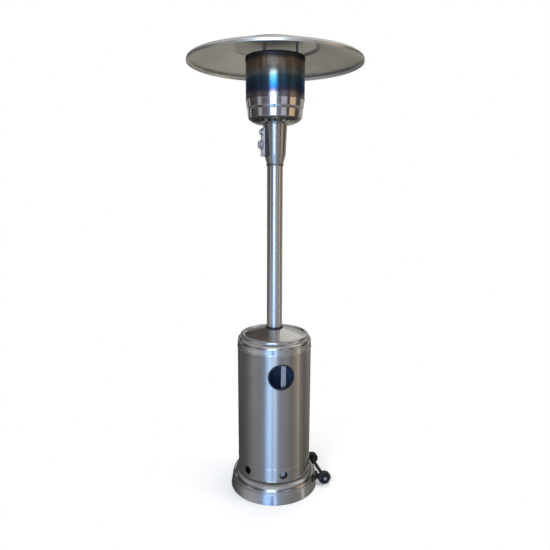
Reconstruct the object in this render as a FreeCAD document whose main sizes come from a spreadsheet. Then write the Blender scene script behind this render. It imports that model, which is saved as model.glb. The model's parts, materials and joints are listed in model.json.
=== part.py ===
import FreeCAD, Part
import math
import os

import Sketcher

# A free-standing gas radiant heater. Millimetres, +Z up, origin at the middle of the base's underside.
# The control panel faces -Y, the wheels are at +Y and the hand holes of the tank housing lie along X.

SIZES = {
    # Shared clearances
    "cut_overrun": 5,
    "seat_gap": 0.3,
    "bolt_gap": 0.3,
    "running_gap": 0.05,
    # Base: a pressed bell with a flat top that carries the gas bottle
    "base_radius": 223,
    "base_height": 98.5,
    "base_wall": 1.5,
    "base_rim_width": 9,
    "base_flare": 7.5,
    "base_band_height": 52,
    "base_step_width": 2.5,
    "base_step_height": 2,
    "base_crown_margin": 3.5,
    "base_edge_round": 4,
    "base_drain_radius": 7,
    # Vented ring between the base and the housing
    "ring_height": 64.5,
    "ring_wall": 1.2,
    "ring_inset": 0.5,
    "ring_flange_width": 11,
    "ring_shelf_width": 1.8,
    "ring_lip_height": 12,
    "vent_radius": 20,
    "vent_height": 35.5,
    # Tank housing, which lifts along the pole
    "cover_inset": 38.5,
    "cover_wall": 1,
    "cover_height": 589,
    "cover_hem_height": 8,
    "cover_hem_width": 0.8,
    "hand_hole_radius": 61,
    "hand_hole_drop": 110,
    "trim_lip": 4,
    "trim_depth": 3.5,
    "trim_stand": 1.4,
    # Shoulder and cone on top of the housing
    "top_wall": 1,
    "top_skirt_gap": 0.2,
    "top_overlap": 8,
    "shoulder_rise": 20,
    "bead_rise": 45,
    "bead_inset": 12,
    "bead_step_width": 2.5,
    "bead_step_height": 2.5,
    "crown_rise": 61,
    "crown_inset": 27.5,
    "groove_inset": 3.5,
    "groove_width": 4,
    "groove_depth": 6,
    "neck_gap": 3.5,
    "neck_rise": 87,
    "neck_height": 7,
    # Struts and the plate that carries the pole
    "strut_inset": 13.5,
    "strut_width": 24,
    "strut_thickness": 4,
    "strut_tab_length": 34,
    "strut_bolt_inset": 20,
    "plate_rise": 35,
    "plate_inset": 9,
    "plate_thickness": 3,
    "plate_bore_inset": 10,
    "grommet_lip": 4,
    "grommet_lip_height": 3,
    "grommet_wall": 4,
    # Pole and its foot flange
    "pole_radius": 38,
    "pole_wall": 1.5,
    "pole_length": 868,
    "flange_width": 26,
    "flange_thickness": 4,
    "flange_collar_wall": 2.5,
    "flange_collar_height": 12,
    "flange_bolt_inset": 12,
    # Bolts and nuts: large on the pole flange, small elsewhere
    "large_bolt_radius": 4,
    "large_hex_radius": 7.5,
    "large_head_height": 5.3,
    "large_nut_height": 6.5,
    "small_bolt_radius": 3,
    "small_hex_radius": 5.8,
    "small_head_height": 4,
    "small_nut_height": 5,
    "bolt_end": 3,
    "screw_radius": 2,
    "screw_head_radius": 4,
    "screw_head_height": 2.4,
    "screw_length": 9,
    # Control head
    "head_swell": 19,
    "head_waist_inset": 6,
    "head_wall": 1,
    "head_socket": 26,
    "head_collar_height": 10,
    "head_taper_height": 42,
    "head_upper_height": 138,
    "head_flange_width": 13,
    # Control box and face plate
    "box_width": 74,
    "box_height": 130,
    "box_drop": 16,
    "box_wall": 1.5,
    "box_stand": 2.5,
    "face_thickness": 1.5,
    "face_border": 1,
    "face_corner": 7,
    "face_screw_inset": 7,
    "window_width": 56,
    # Knob, spindle and washer
    "knob_drop": 93,
    "knob_gap": 5,
    "knob_radius": 23,
    "knob_depth": 15,
    "knob_skirt_height": 5,
    "knob_grip_radius": 17,
    "knob_round": 3,
    "knob_bore_depth": 11,
    "pointer_width": 6,
    "pointer_height": 2,
    "spindle_radius": 4,
    "spindle_hole_radius": 8,
    "spindle_entry": 6,
    "spindle_collar_radius": 7,
    "spindle_collar_thickness": 1.5,
    "washer_radius": 9,
    "washer_thickness": 1.5,
    "push_room": 4.5,
    # Piezo igniter
    "igniter_drop": 36,
    "button_radius": 11,
    "button_stand": 15,
    "button_inside": 14,
    "button_round": 3,
    "bezel_radius": 16,
    "bezel_height": 6,
    "bezel_round": 2,
    "igniter_wall": 3.5,
    "igniter_depth": 29,
    "igniter_end_wall": 3,
    # Valve, its bracket and what is screwed to it
    "bracket_width": 30,
    "bracket_half_height": 26,
    "bracket_flange": 10,
    "bracket_thickness": 1.5,
    "bracket_depth": 21.8,
    "valve_width": 34,
    "valve_depth": 46,
    "valve_height": 46,
    "valve_bore_depth": 16,
    "union_hex_radius": 11,
    "union_hex_height": 8,
    "union_radius": 7.5,
    "union_length": 14,
    "union_bore_radius": 4,
    "injector_hex_radius": 8,
    "injector_hex_height": 6,
    "injector_radius": 5,
    "injector_length": 12,
    "switch_width": 14,
    "switch_depth": 18,
    "switch_height": 26,
    # Burner bowl
    "bowl_wall": 1,
    "bowl_edge_inset": 6.7,
    "bowl_cone_rise": 24,
    "bowl_edge_round": 3,
    "bowl_ledge_rise": 69,
    "bowl_ledge_width": 2.5,
    "bowl_flare": 4,
    "bowl_rim_radius": 135.5,
    "bowl_rim_rise": 108,
    "bowl_flange_width": 3,
    "bowl_screw_inset": 6,
    "slot_margin": 5,
    "slot_length": 25,
    "slot_width": 7,
    # Burner inside the bowl
    "pan_thickness": 1.5,
    "burner_radius": 62,
    "burner_height": 32,
    "burner_wall": 1.5,
    "burner_round": 6,
    "port_radius": 2.5,
    "port_height": 18,
    "tube_radius": 13,
    "tube_wall": 1.5,
    "tube_overlap": 6,
    "tube_flange_width": 5,
    "tube_top": 4,
    # Pilot, thermocouple and spark electrode
    "pilot_gap": 26,
    "pilot_pitch": 12,
    "pilot_tube_radius": 2,
    "pilot_run": 28.2,
    "pilot_climb": 11,
    "pilot_slant": 36,
    "pilot_height": 26,
    "pilot_hood_radius": 5,
    "pilot_hood_height": 14,
    "pilot_bracket_rise": 20,
    "pilot_bracket_width": 46,
    "pilot_bracket_depth": 15,
    "pilot_bracket_thickness": 2,
    # Emitter screen and cap
    "screen_margin": 1.5,
    "screen_wall": 0.8,
    "screen_height": 187,
    "cap_gap": 0.6,
    "cap_wall": 1,
    "cap_skirt": 13,
    "cap_round": 6,
    # Reflector on its posts
    "post_inset": 37,
    "post_radius": 5.5,
    "post_height": 48,
    "stud_radius": 4,
    "stud_end": 14,
    "reflector_wall": 1,
    "reflector_radius": 406.5,
    "reflector_ring_width": 18,
    "reflector_ring_radius": 207,
    "reflector_ring_drop": 10,
    "reflector_fall": 52,
    "reflector_edge_round": 5,
    "reflector_lip": 15,
    "wing_washer_radius": 12,
    "wing_washer_thickness": 1.6,
    "wing_hub_radius": 7,
    "wing_hub_height": 8,
    "wing_span": 18,
    "wing_rise": 5,
    "wing_thickness": 3,
    # Wheels behind the base
    "wheel_radius": 33,
    "wheel_width": 24,
    "wheel_round": 4,
    "wheel_offset": 100,
    "wheel_web": 12,
    "wheel_rim_depth": 8,
    "hub_radius": 12,
    "hub_boss": 9.7,
    "axle_radius": 5,
    "wheel_clearance": 5,
    "axle_stand": 23,
    "axle_cap_radius": 9,
    "axle_cap_length": 7,
    "axle_cap_wall": 2.5,
    "arm_thickness": 4,
    "arm_end_radius": 11,
    "arm_half_height": 14,
    "arm_drop": 3,
    "strap_thickness": 3,
    "strap_low": 14,
    "strap_high": 46,
    "boss_radius": 9,
    "boss_offset": 32,
    "boss_rise": 3,
    "wheel_bolt_length": 16,
}

VENT_PAIRS = 3
STRUT_COUNT = 3
SLOT_COUNT = 24
PORT_PAIRS = 11
POST_COUNT = 3
FLANGE_BOLT_COUNT = 4
HEAD_SCREW_PLANES = ("YZ_Plane", "XZ_Plane")

# Turns about the Z axis, in degrees
COVER_ANGLE = 4
POST_ANGLE = 75

# Rise of an arc over its chord, as a share of the chord; a quarter circle has the first value.
QUARTER_BULGE_SHARE = 0.2071
BELL_BULGE_SHARE = 0.15
SHOULDER_BULGE_SHARE = 0.17
CROWN_BULGE_SHARE = 0.26
TAPER_BULGE_SHARE = 0.03
BOWL_BULGE_SHARE = 0.01
DOME_BULGE_SHARE = 0.005
# Free points of the spark lead inside the head, as shares of the head's radius
LEAD_ROUTE_SHARES = ((0, -0.42, 0), (0.36, -0.27, 0.13), (0.43, 0.24, 0.35))

UP = FreeCAD.Vector(0, 0, 1)
ALONG_X = FreeCAD.Vector(1, 0, 0)
ALONG_Y = FreeCAD.Vector(0, 1, 0)
SQUARE = 90
HALF_TURN = 180
FULL_TURN = 360


class Size:
    """A number with the sheet expression behind it, so that sums of sizes stay bound to the sheet."""

    def __init__(self, number, text):
        self.number = number
        self.text = text

    def __add__(self, other):
        other = as_size(other)
        return Size(self.number + other.number, f"({self.text} + {other.text})")

    def __sub__(self, other):
        other = as_size(other)
        return Size(self.number - other.number, f"({self.text} - {other.text})")

    def __mul__(self, other):
        other = as_size(other)
        return Size(self.number * other.number, f"({self.text} * {other.text})")

    def __truediv__(self, other):
        other = as_size(other)
        return Size(self.number / other.number, f"({self.text} / {other.text})")

    def __neg__(self):
        return Size(-self.number, f"(0 - {self.text})")


def as_size(value):
    """A plain number becomes a Size, and a Size stays as it is."""
    if isinstance(value, Size):
        return value
    return Size(float(value), f"({float(value)!r})")


ZERO = as_size(0)


class Sheet:
    """The spreadsheet of driving sizes, with each size as an attribute."""

    def __init__(self, document, values):
        table = document.addObject("Spreadsheet::Sheet", "dims")
        for row, (name, value) in enumerate(values.items(), start=1):
            table.set(f"A{row}", name)
            table.set(f"B{row}", str(value))
            table.setAlias(f"B{row}", name)
            setattr(self, name, Size(float(value), f"dims.{name}"))


doc = FreeCAD.newDocument("radiant_heater")
d = Sheet(doc, SIZES)
doc.recompute()
pieces = {}


# Helpers: binding, placing, sketches and features

def bind(item, **properties):
    """Binds properties of an object to sizes."""
    for name, size in properties.items():
        item.setExpression(name, as_size(size).text)


def place(item, x=ZERO, y=ZERO, z=ZERO, axis=UP, angle=0):
    """Places an object, with its base point bound to sizes."""
    base = FreeCAD.Vector(x.number, y.number, z.number)
    item.Placement = FreeCAD.Placement(base, FreeCAD.Rotation(axis, as_size(angle).number))
    for name, size in (("x", x), ("y", y), ("z", z)):
        item.setExpression(f"Placement.Base.{name}", size.text)
    return item


def piece(label, item):
    """Names an object as a finished sub-part."""
    item.Label = label
    pieces[label] = item
    return item


def around(radius, angle):
    """The x and y of a point on a circle about the Z axis."""
    turn = math.radians(as_size(angle).number)
    return radius * math.cos(turn), radius * math.sin(turn)


def new_body(name):
    """An empty body."""
    return doc.addObject("PartDesign::Body", f"{name}_body")


def new_sketch(body, name, role):
    """A sketch on one of the body's own origin planes."""
    sketch = body.newObject("Sketcher::SketchObject", name)
    plane = next(item for item in body.Origin.OriginFeatures if item.Role == role)
    sketch.AttachmentSupport = [(plane, "")]
    sketch.MapMode = "FlatFace"
    return sketch


def pin_point(sketch, geometry, position, x, y):
    """Fixes a point of a sketch at sizes x and y from the sketch's origin."""
    for kind, size, axis in (("DistanceX", x, -2), ("DistanceY", y, -1)):
        if size is ZERO:
            sketch.addConstraint(Sketcher.Constraint("PointOnObject", geometry, position, axis))
        else:
            rule = Sketcher.Constraint(kind, -1, 1, geometry, position, size.number)
            sketch.setExpression(f"Constraints[{sketch.addConstraint(rule)}]", size.text)


def arc_middle(start, end, bulge):
    """The middle point of an arc that bulges to the right of its way by a share of its chord."""
    run_x = end[0] - start[0]
    run_y = end[1] - start[1]
    return start[0] + run_x / 2 + run_y * bulge, start[1] + run_y / 2 - run_x * bulge


def outline(body, name, role, corners):
    """A closed sketch through corners (x, y) or (x, y, bulge of the arc to the next corner)."""
    sketch = new_sketch(body, name, role)
    ends = []
    for corner, following in zip(corners, corners[1:] + corners[:1]):
        start = FreeCAD.Vector(corner[0].number, corner[1].number, 0)
        end = FreeCAD.Vector(following[0].number, following[1].number, 0)
        if len(corner) > 2 and corner[2]:
            x, y = arc_middle(corner, following, corner[2])
            middle = FreeCAD.Vector(x.number, y.number, 0)
            edge = sketch.addGeometry(Part.Arc(start, middle, end), False)
            mark = sketch.addGeometry(Part.Point(middle), True)
            pin_point(sketch, mark, 1, x, y)
            sketch.addConstraint(Sketcher.Constraint("PointOnObject", mark, 1, edge))
        else:
            edge = sketch.addGeometry(Part.LineSegment(start, end), False)
        first_gap = sketch.getPoint(edge, 1).distanceToPoint(start)
        starts_first = first_gap < sketch.getPoint(edge, 2).distanceToPoint(start)
        ends.append((edge, 1, 2) if starts_first else (edge, 2, 1))
    for corner, before, after in zip(corners, ends[-1:] + ends[:-1], ends):
        sketch.addConstraint(Sketcher.Constraint("Coincident", before[0], before[2], after[0], after[1]))
        pin_point(sketch, after[0], after[1], corner[0], corner[1])
    return sketch


def wall_corners(path, wall):
    """Corners of a sheet-metal wall whose outer side is path.

    A point of path is (x, z, shift_x_share, shift_z_share) with an optional bulge: the shares say how far,
    in wall thicknesses, the matching point of the inner side lies from it.
    """
    bulges = [point[4] if len(point) > 4 else 0 for point in path]
    outer = [(point[0], point[1], bulge) for point, bulge in zip(path, bulges)]
    inner = [(point[0] + wall * point[2], point[1] + wall * point[3]) for point in path]
    back = [(corner[0], corner[1], -bulge) for corner, bulge in zip(inner[::-1], bulges[-2::-1] + [0])]
    return outer + back


def revolved(name, corners):
    """A body of an outline turned once round the Z axis."""
    body = new_body(name)
    sketch = outline(body, f"{name}_section", "XZ_Plane", corners)
    turn = body.newObject("PartDesign::Revolution", f"{name}_turn")
    turn.Profile = sketch
    turn.ReferenceAxis = (sketch, ["V_Axis"])
    turn.Angle = FULL_TURN
    return body


def padded(name, role, corners, length):
    """A body of an outline padded evenly to both sides of its plane."""
    body = new_body(name)
    pad = body.newObject("PartDesign::Pad", f"{name}_pad")
    pad.Profile = outline(body, f"{name}_section", role, corners)
    pad.Midplane = True
    bind(pad, Length=length)
    return body


def cut_through(body, name, sketch):
    """Cuts a sketch through the whole body, both ways."""
    pocket = body.newObject("PartDesign::Pocket", name)
    pocket.Profile = sketch
    pocket.Type = "ThroughAll"
    pocket.Midplane = True
    return pocket


def drill(body, name, role, places, radius):
    """Drills round holes through the whole body at places on one of its planes."""
    sketch = new_sketch(body, f"{name}_circles", role)
    for x, y in places:
        middle = FreeCAD.Vector(x.number, y.number, 0)
        ring = sketch.addGeometry(Part.Circle(middle, UP, radius.number), False)
        pin_point(sketch, ring, 3, x, y)
        rule = sketch.addConstraint(Sketcher.Constraint("Radius", ring, radius.number))
        sketch.setExpression(f"Constraints[{rule}]", radius.text)
    return cut_through(body, name, sketch)


def repeat(body, feature, count):
    """Repeats a cut evenly round the Z axis."""
    pattern = body.newObject("PartDesign::PolarPattern", f"{feature.Name}_repeat")
    pattern.Originals = [feature]
    axis = next(item for item in body.Origin.OriginFeatures if item.Role == "Z_Axis")
    pattern.Axis = (axis, [""])
    pattern.Angle = FULL_TURN
    pattern.Occurrences = count
    body.Tip = pattern


def cylinder(name, radius, height, **where):
    """A cylinder that stands on its placement."""
    item = doc.addObject("Part::Cylinder", name)
    bind(item, Radius=radius, Height=height)
    return place(item, **where)


def block(name, width, depth, height, **corner):
    """A box from its lowest corner."""
    item = doc.addObject("Part::Box", name)
    bind(item, Length=width, Width=depth, Height=height)
    return place(item, **corner)


def hexagon(name, radius, height, **where):
    """A hexagonal prism that stands on its placement."""
    item = doc.addObject("Part::Prism", name)
    item.Polygon = 6
    bind(item, Circumradius=radius, Height=height)
    return place(item, **where)


def cut(name, base, tool):
    """One solid less another."""
    item = doc.addObject("Part::Cut", name)
    item.Base = base
    item.Tool = tool
    return item


def common(name, first, second):
    """What two solids share."""
    item = doc.addObject("Part::Common", name)
    item.Base = first
    item.Tool = second
    return item


def fuse(name, items):
    """Several solids as one."""
    item = doc.addObject("Part::MultiFuse", name)
    item.Shapes = items
    item.Refine = True
    return item


def group(name, items):
    """Several separate solids as one sub-part."""
    item = doc.addObject("Part::Compound", name)
    item.Links = items
    return item


def tube(name, outer, inner, height, **where):
    """A plain tube that stands on its placement."""
    solid = cylinder(f"{name}_outer", outer, height)
    hollow = cylinder(f"{name}_inner", inner, height + d.cut_overrun * 2, z=-d.cut_overrun)
    return place(cut(name, solid, hollow), **where)


def hex_bolt(name, radius, hex_radius, head_height, length, **where):
    """A bolt whose head stands on its placement, with its shank below."""
    shank = cylinder(f"{name}_shank", radius, length, z=-length)
    head = hexagon(f"{name}_head", hex_radius, head_height)
    return place(fuse(name, [shank, head]), **where)


def hex_nut(name, radius, hex_radius, height, **where):
    """A nut that stands on its placement."""
    return place(cut(name, hexagon(f"{name}_hex", hex_radius, height),
                     cylinder(f"{name}_bore", radius + d.running_gap, height + d.cut_overrun * 2,
                              z=-d.cut_overrun)), **where)


def pan_screw(name, length, **where):
    """A small screw whose head stands on its placement, with its shank below."""
    shank = cylinder(f"{name}_shank", d.screw_radius, length, z=-length)
    head = cylinder(f"{name}_head", d.screw_head_radius, d.screw_head_height)
    return place(fuse(name, [shank, head]), **where)


# Radii and reaches, each worked out from the piece that it belongs to
cover_radius = d.base_radius - d.cover_inset
base_band_radius = d.base_radius - d.base_flare
base_crown_radius = cover_radius + d.base_crown_margin
strut_radius = cover_radius - d.strut_inset
plate_radius = strut_radius - d.plate_inset
plate_bore_radius = d.pole_radius - d.plate_bore_inset
flange_radius = d.pole_radius + d.flange_width
flange_bolt_circle = flange_radius - d.flange_bolt_inset
head_radius = d.pole_radius + d.head_swell
bowl_upper_radius = d.bowl_rim_radius - d.bowl_flare
bowl_lower_radius = bowl_upper_radius - d.bowl_ledge_width
bowl_foot_radius = bowl_lower_radius - d.bowl_edge_inset
screen_radius = d.bowl_rim_radius + d.screen_margin
post_circle = screen_radius - d.post_inset
pilot_reach = d.burner_radius + d.pilot_gap
axle_reach = d.base_radius + d.axle_stand
axle_height = d.wheel_radius + d.wheel_clearance

# Levels from the floor up, each worked out from the pieces under it
base_top = d.base_height
ring_top = base_top + d.ring_height
cover_top_edge = ring_top + d.cover_height
plate_bottom = cover_top_edge + d.plate_rise
plate_top = plate_bottom + d.plate_thickness
pole_top = plate_top + d.pole_length
head_bottom = pole_top - d.head_socket
head_taper_bottom = head_bottom + d.head_collar_height
head_waist_level = head_taper_bottom + d.head_taper_height
head_top = head_waist_level + d.head_upper_height
pan_bottom = head_top + d.bowl_ledge_rise + d.bowl_wall
pan_top = pan_bottom + d.pan_thickness
screen_bottom = head_top + d.bowl_rim_rise + d.bowl_wall
screen_top = screen_bottom + d.screen_height
cap_top = screen_top + d.cap_wall + d.cap_round / 2
reflector_seat = cap_top + d.post_height
strut_bolt_circle = strut_radius - d.strut_bolt_inset
small_hole = d.small_bolt_radius + d.bolt_gap
large_hole = d.large_bolt_radius + d.bolt_gap
screw_hole = d.screw_radius + d.bolt_gap
strut_angles = [FULL_TURN / STRUT_COUNT * index for index in range(STRUT_COUNT)]
strut_bolt_places = [around(strut_bolt_circle, angle) for angle in strut_angles]
flange_angles = [FULL_TURN / FLANGE_BOLT_COUNT * (index + 1 / 2) for index in range(FLANGE_BOLT_COUNT)]
flange_bolt_places = [around(flange_bolt_circle, angle) for angle in flange_angles]


# Base

def base_shell():
    """The pressed bell: flared band, step, rounded bell and flat top."""
    step_radius = base_band_radius - d.base_step_width
    path = [
        (d.base_radius - d.base_rim_width, ZERO, 0, 1),
        (d.base_radius, ZERO, -1, 1),
        (base_band_radius, d.base_band_height, -1, 0),
        (step_radius, d.base_band_height + d.base_step_height, -1, -0.3, BELL_BULGE_SHARE),
        (base_crown_radius, base_top - d.base_edge_round, -1, -0.5, QUARTER_BULGE_SHARE),
        (base_crown_radius - d.base_edge_round, base_top, 0, -1),
        (d.base_drain_radius, base_top, 0, -1),
    ]
    body = revolved("base_shell", wall_corners(path, d.base_wall))
    drill(body, "base_strut_holes", "XY_Plane", strut_bolt_places, small_hole)
    holes = [
        cylinder(f"base_wheel_hole_{index}", small_hole, d.base_radius + d.cut_overrun, axis=ALONG_X,
                 angle=-SQUARE, x=side, z=bracket_bolt_height)
        for index, side in enumerate((-d.boss_offset, d.boss_offset))
    ]
    piece("base_shell", cut("base_shell", body, group("base_wheel_holes", holes)))


def vent_ring():
    """The upright ring with round vents, a flange on the base and a lip inside the housing."""
    radius = cover_radius - d.ring_inset
    lip_radius = radius - d.ring_shelf_width
    path = [
        (radius - d.ring_flange_width, base_top, 0, 1),
        (radius, base_top, -1, 1),
        (radius, ring_top, -1, -1),
        (lip_radius, ring_top, -1, -1),
        (lip_radius, ring_top + d.ring_lip_height, -1, 0),
    ]
    body = revolved("vent_ring", wall_corners(path, d.ring_wall))
    vents = drill(body, "vents", "YZ_Plane", [(ZERO, base_top + d.vent_height)], d.vent_radius)
    repeat(body, vents, VENT_PAIRS)
    piece("vent_ring", body)


# Struts, plate and pole

def struts():
    """Three flat bars with a tab at each end, and the bolts that hold them."""
    outer = strut_radius
    inner = outer - d.strut_thickness
    tab = outer - d.strut_tab_length
    corners = [
        (tab, base_top),
        (outer, base_top),
        (outer, plate_bottom),
        (tab, plate_bottom),
        (tab, plate_bottom - d.strut_thickness),
        (inner, plate_bottom - d.strut_thickness),
        (inner, base_top + d.strut_thickness),
        (tab, base_top + d.strut_thickness),
    ]
    for index, angle in enumerate(strut_angles, start=1):
        body = padded(f"strut_{index}", "XZ_Plane", corners, d.strut_width)
        drill(body, f"strut_{index}_holes", "XY_Plane", [(strut_bolt_circle, ZERO)], small_hole)
        piece(f"strut_{index}", place(body, angle=angle))
    foot_grip = d.strut_thickness + d.base_wall
    top_grip = d.strut_thickness + d.plate_thickness
    small = (d.small_bolt_radius, d.small_hex_radius)
    joints = (
        ("foot", base_top + d.strut_thickness, foot_grip),
        ("top", plate_top, top_grip),
    )
    for end, seat, grip in joints:
        length = grip + d.small_nut_height + d.bolt_end
        bolts = []
        nuts = []
        for index, (x, y) in enumerate(strut_bolt_places):
            bolts.append(hex_bolt(f"{end}_bolt_{index}", *small, d.small_head_height, length,
                                  x=x, y=y, z=seat))
            nuts.append(hex_nut(f"{end}_nut_{index}", *small, d.small_nut_height, x=x, y=y,
                                z=seat - grip - d.small_nut_height))
        piece(f"strut_{end}_bolts", group(f"strut_{end}_bolts", bolts))
        piece(f"strut_{end}_nuts", group(f"strut_{end}_nuts", nuts))


def pole_plate():
    """The round plate on the struts, with its hose grommet."""
    corners = [
        (plate_bore_radius, plate_bottom),
        (plate_radius, plate_bottom),
        (plate_radius, plate_top),
        (plate_bore_radius, plate_top),
    ]
    body = revolved("pole_plate", corners)
    drill(body, "plate_strut_holes", "XY_Plane", strut_bolt_places, small_hole)
    drill(body, "plate_flange_holes", "XY_Plane", flange_bolt_places, large_hole)
    piece("pole_plate", body)
    waist = plate_bore_radius - d.seat_gap
    lip = plate_bore_radius + d.grommet_lip
    bore = plate_bore_radius - d.grommet_wall
    corners = [
        (bore, plate_bottom - d.grommet_lip_height),
        (lip, plate_bottom - d.grommet_lip_height),
        (lip, plate_bottom),
        (waist, plate_bottom),
        (waist, plate_top),
        (lip, plate_top),
        (lip, plate_top + d.grommet_lip_height),
        (bore, plate_top + d.grommet_lip_height),
    ]
    piece("hose_grommet", revolved("hose_grommet", corners))


def pole():
    """The pole, the flange under it and the flange's bolts."""
    bore = d.pole_radius + d.seat_gap
    collar = bore + d.flange_collar_wall
    flange_top = plate_top + d.flange_thickness
    collar_top = flange_top + d.flange_collar_height
    corners = [
        (bore, plate_top),
        (flange_radius, plate_top),
        (flange_radius, flange_top),
        (collar, flange_top),
        (collar, collar_top),
        (bore, collar_top),
    ]
    body = revolved("pole_flange", corners)
    drill(body, "flange_holes", "XY_Plane", flange_bolt_places, large_hole)
    piece("pole_flange", body)
    inner = d.pole_radius - d.pole_wall
    corners = [
        (inner, plate_top),
        (d.pole_radius, plate_top),
        (d.pole_radius, pole_top),
        (inner, pole_top),
    ]
    body = revolved("pole", corners)
    for role in HEAD_SCREW_PLANES:
        drill(body, f"pole_screw_holes_{role}", role, [(ZERO, head_screw_height)], screw_hole)
    piece("pole", body)
    grip = d.flange_thickness + d.plate_thickness
    length = grip + d.large_nut_height + d.bolt_end
    large = (d.large_bolt_radius, d.large_hex_radius)
    bolts = []
    nuts = []
    for index, (x, y) in enumerate(flange_bolt_places):
        bolts.append(hex_bolt(f"flange_bolt_{index}", *large, d.large_head_height, length,
                              x=x, y=y, z=flange_top))
        nuts.append(hex_nut(f"flange_nut_{index}", *large, d.large_nut_height, x=x, y=y,
                            z=plate_bottom - d.large_nut_height))
    piece("flange_bolts", group("flange_bolts", bolts))
    piece("flange_nuts", group("flange_nuts", nuts))


# Tank housing

def cover_shell():
    """The brushed cylinder with a hem and two hand holes, turned a little on the base."""
    inner = cover_radius - d.cover_wall
    hem = cover_radius + d.cover_hem_width
    hem_top = ring_top + d.cover_hem_height
    corners = [
        (inner, ring_top),
        (hem, ring_top),
        (hem, hem_top),
        (cover_radius, hem_top + d.cover_hem_width),
        (cover_radius, cover_top_edge),
        (inner, cover_top_edge),
    ]
    body = revolved("cover_shell", corners)
    drill(body, "hand_holes", "YZ_Plane", [(ZERO, hand_hole_level)], d.hand_hole_radius)
    piece("cover_shell", place(body, angle=-COVER_ANGLE))


def hand_hole_trim(label, angle):
    """A moulded edge strip that grips the rim of a hand hole.

    Args:
        label: name of the strip.
        angle: turn about the Z axis from the hole at +X.
    """
    reach = cover_radius + d.cut_overrun

    def across(name, radius):
        return cylinder(f"{label}_{name}", radius, reach, axis=ALONG_Y, angle=SQUARE, z=hand_hole_level)

    def upright(name, radius):
        low = hand_hole_level - d.hand_hole_radius * 2
        return cylinder(f"{label}_{name}", radius, d.hand_hole_radius * 4, z=low)

    ring = cut(f"{label}_ring", across("rim", d.hand_hole_radius + d.trim_lip),
               across("opening", d.hand_hole_radius - d.trim_depth))
    inside = cover_radius - d.cover_wall
    skin = cut(f"{label}_skin", upright("outside", cover_radius + d.trim_stand),
               upright("inside", inside - d.trim_stand))
    wall = cut(f"{label}_wall", upright("wall_outside", cover_radius + d.running_gap),
               upright("wall_inside", inside - d.running_gap))
    groove = cut(f"{label}_groove", wall, across("hole", d.hand_hole_radius - d.seat_gap))
    strip = cut(label, common(f"{label}_band", ring, skin), groove)
    piece(label, place(strip, angle=angle - COVER_ANGLE))


def cover_top():
    """The polished shoulder, its bead and a shallow cone on the housing, with a neck round the pole."""
    skirt = cover_radius + d.top_skirt_gap + d.top_wall
    crown_level = cover_top_edge + d.crown_rise
    groove_level = crown_level - d.groove_depth
    neck = d.pole_radius + d.neck_gap + d.top_wall
    neck_level = cover_top_edge + d.neck_rise
    ledge = cover_top_edge + d.top_wall
    bead = cover_radius - d.bead_inset
    bead_level = cover_top_edge + d.bead_rise
    crown = cover_radius - d.crown_inset
    groove = crown - d.groove_inset
    path = [
        (skirt, cover_top_edge - d.top_overlap, -1, 0),
        (skirt, ledge, -1, -1),
        (cover_radius, ledge, -1, -1),
        (cover_radius, cover_top_edge + d.shoulder_rise, -1, 0, SHOULDER_BULGE_SHARE),
        (bead, bead_level, -1, -0.6),
        (bead - d.bead_step_width, bead_level + d.bead_step_height, -1, -0.2, CROWN_BULGE_SHARE),
        (crown, crown_level, 0.3, -1),
        (groove, groove_level, -0.1, -1),
        (groove - d.groove_width, groove_level, 0.1, -1),
        (neck, neck_level, -1, -1),
        (neck, neck_level + d.neck_height, -1, 0),
    ]
    piece("cover_top", revolved("cover_top", wall_corners(path, d.top_wall)))


# Control head

def head_path(gap):
    """The outer side of the head's shell, grown by a gap: collar, taper and upper part."""
    collar = d.pole_radius + d.seat_gap + d.head_wall + gap
    return [
        (collar, head_bottom, -1, 0),
        (collar, head_taper_bottom, -1, 0, TAPER_BULGE_SHARE),
        (head_radius - d.head_waist_inset + gap, head_waist_level, -1, 0),
        (head_radius + gap, head_top, -1, -1),
    ]


def head_housing():
    """The head's round shell with its window, bolted through the collar to the pole."""
    path = head_path(ZERO) + [(head_radius - d.head_flange_width, head_top, 0, -1)]
    body = revolved("head_housing", wall_corners(path, d.head_wall))
    for role in HEAD_SCREW_PLANES:
        drill(body, f"head_screw_holes_{role}", role, [(ZERO, head_screw_height)], screw_hole)
    drill(body, "head_bowl_holes", "XY_Plane", bowl_screw_places, screw_hole)
    window = block("head_window", d.window_width, head_radius, d.box_height - d.box_wall * 4,
                   x=-d.window_width / 2, y=-head_radius - d.cut_overrun, z=box_bottom + d.box_wall * 2)
    piece("head_housing", cut("head_housing", body, window))
    collar = d.pole_radius + d.seat_gap + d.head_wall
    screws = []
    for index in range(FULL_TURN // SQUARE):
        angle = SQUARE * index
        x, y = around(collar, angle)
        screw = pan_screw(f"head_screw_{index}", d.screw_length)
        turn = FreeCAD.Rotation(UP, angle).multiply(FreeCAD.Rotation(ALONG_Y, SQUARE))
        place(screw, x=x, y=y, z=head_screw_height)
        screw.Placement = FreeCAD.Placement(screw.Placement.Base, turn)
        screws.append(screw)
    piece("head_screws", group("head_screws", screws))


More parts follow.
